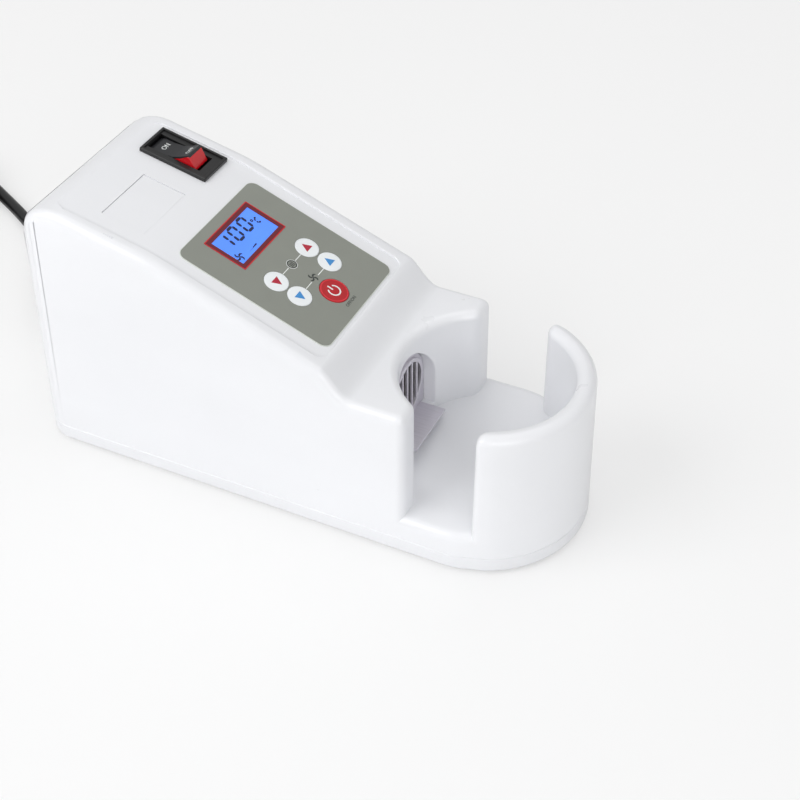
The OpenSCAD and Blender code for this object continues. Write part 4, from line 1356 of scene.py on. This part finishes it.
@dataclass
class MainsLead:
    """The lead: strain relief, cord, coil with its tie, and plug."""

    d: float = 7.0
    coil_r: float = 47.0
    coil_pitch: float = 7.5
    turns: float = 5.4
    loop_steps: int = 24
    tail_len: float = 46.0
    plug_r: float = 18.0
    route: Sequence[tuple[float, float, float]] = (
        (-160, 22, 23.5), (-167, 22, 23.5), (-175, 23.4, 22.9), (-183, 27.5, 21),
        (-189.5, 33.5, 18.4), (-195.5, 41, 15.3), (-203, 50.5, 11.6), (-211, 60.5, 8),
        (-219.5, 71, 5.4), (-229, 81.5, 4), (-240, 91, 3.6), (-251.5, 98.4, 3.6),
        (-263, 104.8, 3.6), (-277, 112, 3.8), (-291, 119, 4.2), (-301, 124, 4.2),
    )

    def __post_init__(self) -> None:
        """Works out the coil's middle and start from the route's end."""
        self.count = round(self.turns * self.loop_steps)
        self.end = Vector(self.route[-1])
        heading = (self.end - Vector(self.route[-2])).normalized()
        self.start = math.atan2(heading.y, heading.x) - math.pi / 2
        spoke = Vector((math.cos(self.start), math.sin(self.start), 0))
        self.middle = self.end + self.d * heading - self.coil_r * spoke
        away = self.start + math.tau * self.count / self.loop_steps + math.pi / 2
        self.tail_way = Vector((math.cos(away), math.sin(away), 0))
        self.tail_turn = away

    def radius(self, i: int) -> float:
        """Radius of the coil at a step: in along the table, out again on top."""
        return self.coil_r - self.coil_pitch * min(i, self.count - i) / self.loop_steps

    def wound(self, i: int) -> Vector:
        """Centre line of the coil at a step."""
        turn = self.start + math.tau * i / self.loop_steps
        climb = (i - self.count / 2) / (self.loop_steps / 2) + 0.5
        rise = self.coil_pitch * ease(min(1, max(0, climb)))
        flat = Vector((math.cos(turn), math.sin(turn), 0)) * self.radius(i)
        return self.middle + flat + Vector((0, 0, rise))

    def centre_line(self) -> list[Vector]:
        """The whole cord from the strain relief to the plug."""
        coil = [self.wound(i) for i in range(self.count + 1)]
        last = coil[-1]
        lift = self.plug_r + 0.1 - last.z
        tail = [
            last + self.tail_way * self.tail_len * t + Vector((0, 0, lift * ease(min(1, t / 0.83))))
            for t in (0.16, 0.4, 0.65, 0.83, 1)
        ]
        return [Vector(p) for p in self.route] + coil + tail

    def build(self) -> None:
        line = self.centre_line()
        curve = bpy.data.curves.new("mains_lead", "CURVE")
        curve.dimensions = "3D"
        curve.bevel_depth = self.d / 2 * MM
        curve.bevel_resolution = 4
        curve.resolution_u = 4
        curve.use_fill_caps = True
        spline = curve.splines.new("BEZIER")
        spline.bezier_points.add(len(line) - 1)
        for knot, place in zip(spline.bezier_points, line):
            knot.co = place * MM
            knot.handle_left_type = "AUTO"
            knot.handle_right_type = "AUTO"
        curve.materials.append(CORD_BLACK.material())
        lead = new_object("mains_lead", curve)
        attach(lead, ROOT)
        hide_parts("mains_cord", "cord_coil")
        relief = make_piece("cord_relief", self.relief(), CORD_BLACK, ["strain_relief"])
        tie = make_piece("coil_tie", self.tie(), PLASTIC_BLACK, ["cord_tie"])
        plug = make_piece("plug_moulding", self.plug(line[-1]), CORD_BLACK, ["plug_body"])
        pins = make_piece("plug_contacts", self.pins(line[-1]), NICKEL_PINS, ["plug_pins"])
        length = sum((b - a).length for a, b in zip(line, line[1:])) * MM
        LOG.info("cord length %.3f m", length)
        tuple(line[0] * MM)

    def relief(self) -> Shape:
        """The ribbed strain relief, its flange on the rear wall and its collar through it."""
        length = 25.45
        profile = [(0, 0), (3.6, 0), (4.2, 0.5)]
        for i in range(6):
            z = 2.4 + i * 3.6
            r = mix(4.3, 6, z / length)
            profile += [(r, z), (r - 1.1, z + 0.4), (r - 1.1, z + 1.5), (r + 0.13, z + 1.9)]
        profile += [(6, length), (7.4, length), (8, length + 0.6), (8, length + 2.2)]
        profile += [(5.4, length + 2.2), (5.4, length + 5.2), (0, length + 5.2)]
        tip = Matrix.Translation((self.route[0][0], *CORD_YZ))
        return Shape.turned(profile, 40).placed(tip @ Z_TO_X)

    def tie(self) -> Shape:
        """The band round the bundle of turns."""
        step, band, thick, slack = 5, 5.0, 0.5, 0.15
        radii = [self.radius(i) for i in range(step, self.count + 1, self.loop_steps)]
        width = max(radii) - min(radii) + self.d + 4 * slack
        height = self.coil_pitch + self.d + 2 * slack
        outline = round_square(width + 2 * thick, height + 2 * thick, 2 + thick)
        outside = Shape.plate(outline, 0, band)
        outside.rounded(0.2, segments=2, least=60)
        tie = outside.cut(Shape.plate(round_square(width, height, 2), -1, band + 1))
        spot = Matrix.Translation(self.middle + Vector((0, 0, self.coil_pitch / 2)))
        swing = Matrix.Rotation(self.start + math.tau * step / self.loop_steps, 4, "Z")
        shift = Matrix.Translation(((max(radii) + min(radii)) / 2, band / 2, 0))
        return tie.placed(spot @ swing @ shift @ Z_TO_MINUS_Y)

    def _at_plug(self, end: Vector) -> Matrix:
        """Turns Z along the plug, at the end of the cord."""
        heading = Matrix.Rotation(self.tail_turn, 4, "Z")
        return Matrix.Translation(end) @ heading @ Z_TO_X

    def plug(self, end: Vector) -> Shape:
        """The moulded plug with a ribbed neck and a grip."""
        profile = [(0, 0), (3.9, 0), (4.4, 0.5)]
        for i in range(4):
            z = 2.2 + i * 3.4
            r = mix(4.4, 6.5, z / 18)
            profile += [(r, z), (r - 1, z + 0.4), (r - 1, z + 1.4), (r + 0.12, z + 1.8)]
        profile += [(6.5, 16), (8, 16.3), (12.2, 19.5), (15.4, 23.2), (16.2, 24.6)]
        profile += [(17.2, 31), (17.7, 35.4), (17.6, 37.2), (16.9, 38), (0, 38)]
        body = Shape.turned(profile, 64)
        holes = [Shape.cylinder(2.4, 30, 40, 24).at(0, s * 9.5) for s in (-1, 1)]
        return body.cut(*holes).placed(self._at_plug(end))

    def pins(self, end: Vector) -> Shape:
        """The two round pins."""
        pins = Shape()
        for s in (-1, 1):
            profile = [(0, 30), (2.4, 30), (2.4, 55), (2.1, 56.2), (1.4, 57), (0, 57)]
            pins.and_also(Shape.turned(profile, 32).at(0, s * 9.5))
        return pins.placed(self._at_plug(end))


# ---------------------------------------------------------------- studio


@dataclass
class Studio:
    """Camera, floor and lights."""

    eye: Point = (279.44, -499.24)
    eye_z: float = 518.96
    azimuth: float = 25.672
    elevation: float = 40.558
    roll: float = -0.312
    lens: float = 70.67
    sensor: float = 36.0
    sight: float = 50.0
    aim: Sequence[float] = (0, 0, 0.05)
    lamps: Sequence[tuple[str, tuple[float, float, float], float, float]] = (
        ("key_lamp", (-0.9, -1.1, 1.3), 1.3, 15),
        ("fill_lamp", (1.2, -1.5, 0.9), 1.2, 10),
        ("top_lamp", (0.1, 0.5, 1.9), 1.4, 5),
    )
    daylight: float = 0.55
    floor_glow: float = 0.45

    def set_camera(self) -> None:
        """Places the camera at the photographed angle."""
        a, e, r = (math.radians(v) for v in (self.azimuth, self.elevation, self.roll))
        back = Vector((math.sin(a) * math.cos(e), -math.cos(a) * math.cos(e), math.sin(e)))
        right = Vector((math.cos(a), math.sin(a), 0))
        up = back.cross(right)
        turned_right = right * math.cos(r) + up * math.sin(r)
        turned_up = up * math.cos(r) - right * math.sin(r)
        camera = new_object("camera", bpy.data.cameras.new("camera"))
        camera.data.lens = self.lens
        camera.data.sensor_width = self.sensor
        camera.data.clip_end = self.sight
        axes = Matrix((turned_right, turned_up, back)).transposed().to_4x4()
        eye = Vector((*self.eye, self.eye_z)) * MM
        camera.matrix_world = Matrix.Translation(eye) @ axes
        bpy.context.scene.camera = camera

    def light(self) -> None:
        """Sets the soft lamps, the pale surroundings and the floor."""
        for lamp in self.lamps:
            self._lamp(*lamp)
        self._surroundings(self.daylight)
        mesh = Shape.box((-6000, -6000, -2), (6000, 6000, 0)).mesh("table_top")
        mesh.materials.append(self._floor_material())
        table = new_object("table_top", mesh)
        bpy.context.scene.view_settings.view_transform = "Standard"

    def _lamp(self, name: str, place: Sequence[float], size: float, watts: float) -> None:
        """A square soft lamp that faces the object."""
        lamp = bpy.data.lights.new(name, "AREA")
        lamp.size = size
        lamp.energy = watts
        holder = new_object(name, lamp)
        holder.location = place
        away = Vector(place) - Vector(self.aim)
        holder.rotation_euler = away.to_track_quat("Z", "Y").to_euler()

    @staticmethod
    def _surroundings(level: float) -> None:
        """A white world: even light on the object, plain white behind it."""
        world = bpy.data.worlds.new("surroundings")
        bpy.context.scene.world = world
        world.use_nodes = True
        nodes, links = world.node_tree.nodes, world.node_tree.links
        background = nodes["Background"]
        background.inputs["Color"].default_value = (1, 1, 1, 1)
        path = nodes.new("ShaderNodeLightPath")
        seen = nodes.new("ShaderNodeMath")
        seen.operation = "MAXIMUM"
        links.new(path.outputs["Is Camera Ray"], seen.inputs[0])
        links.new(path.outputs["Is Transmission Ray"], seen.inputs[1])
        strength = nodes.new("ShaderNodeMapRange")
        strength.inputs["To Min"].default_value = level
        strength.inputs["To Max"].default_value = 1.0
        links.new(seen.outputs[0], strength.inputs["Value"])
        links.new(strength.outputs[0], background.inputs["Strength"])

    def _floor_material(self) -> bpy.types.Material:
        """A white table top that shows plain white where no shadow falls."""
        shader = Shader("table_white")
        shader.set(Base_Color=(0.9, 0.9, 0.9, 1), Roughness=0.9, Specular_IOR_Level=0.1)
        path = shader.add("ShaderNodeLightPath", output="Is Camera Ray")
        glow = shader.add("ShaderNodeEmission", None, {"Color": (1, 1, 1, 1), "Strength": 1.0})
        shown = shader.add(
            "ShaderNodeMixShader", None,
            {0: path * self.floor_glow, 1: Signal(shader, shader.surface.outputs[0]), 2: glow},
        )
        output = shader.nodes["Material Output"]
        shader.links.new(shown.socket, output.inputs["Surface"])
        return shader.material


COVER = Cover()


def dress_packed_nodes() -> None:
    """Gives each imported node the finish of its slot."""
    for part in frame["record"]["subparts"]:
        node = frame["nodes"][part["node"]]
        node.data.materials.clear()
        node.data.materials.append(CAD_FINISHES[part["material_slot"]].material())


def main() -> None:
    """Builds the studio, the lead and every moulding in order."""
    logging.basicConfig(level=logging.INFO, format="%(message)s")
    studio = Studio()
    studio.set_camera()
    MainsLead().build()
    dress_packed_nodes()
    COVER.build()
    Tray().build()
    Keypad().build()
    Display().build()
    MainsSwitch().build()
    Outlet().build()
    studio.light()


if __name__ == "__main__":
    main()
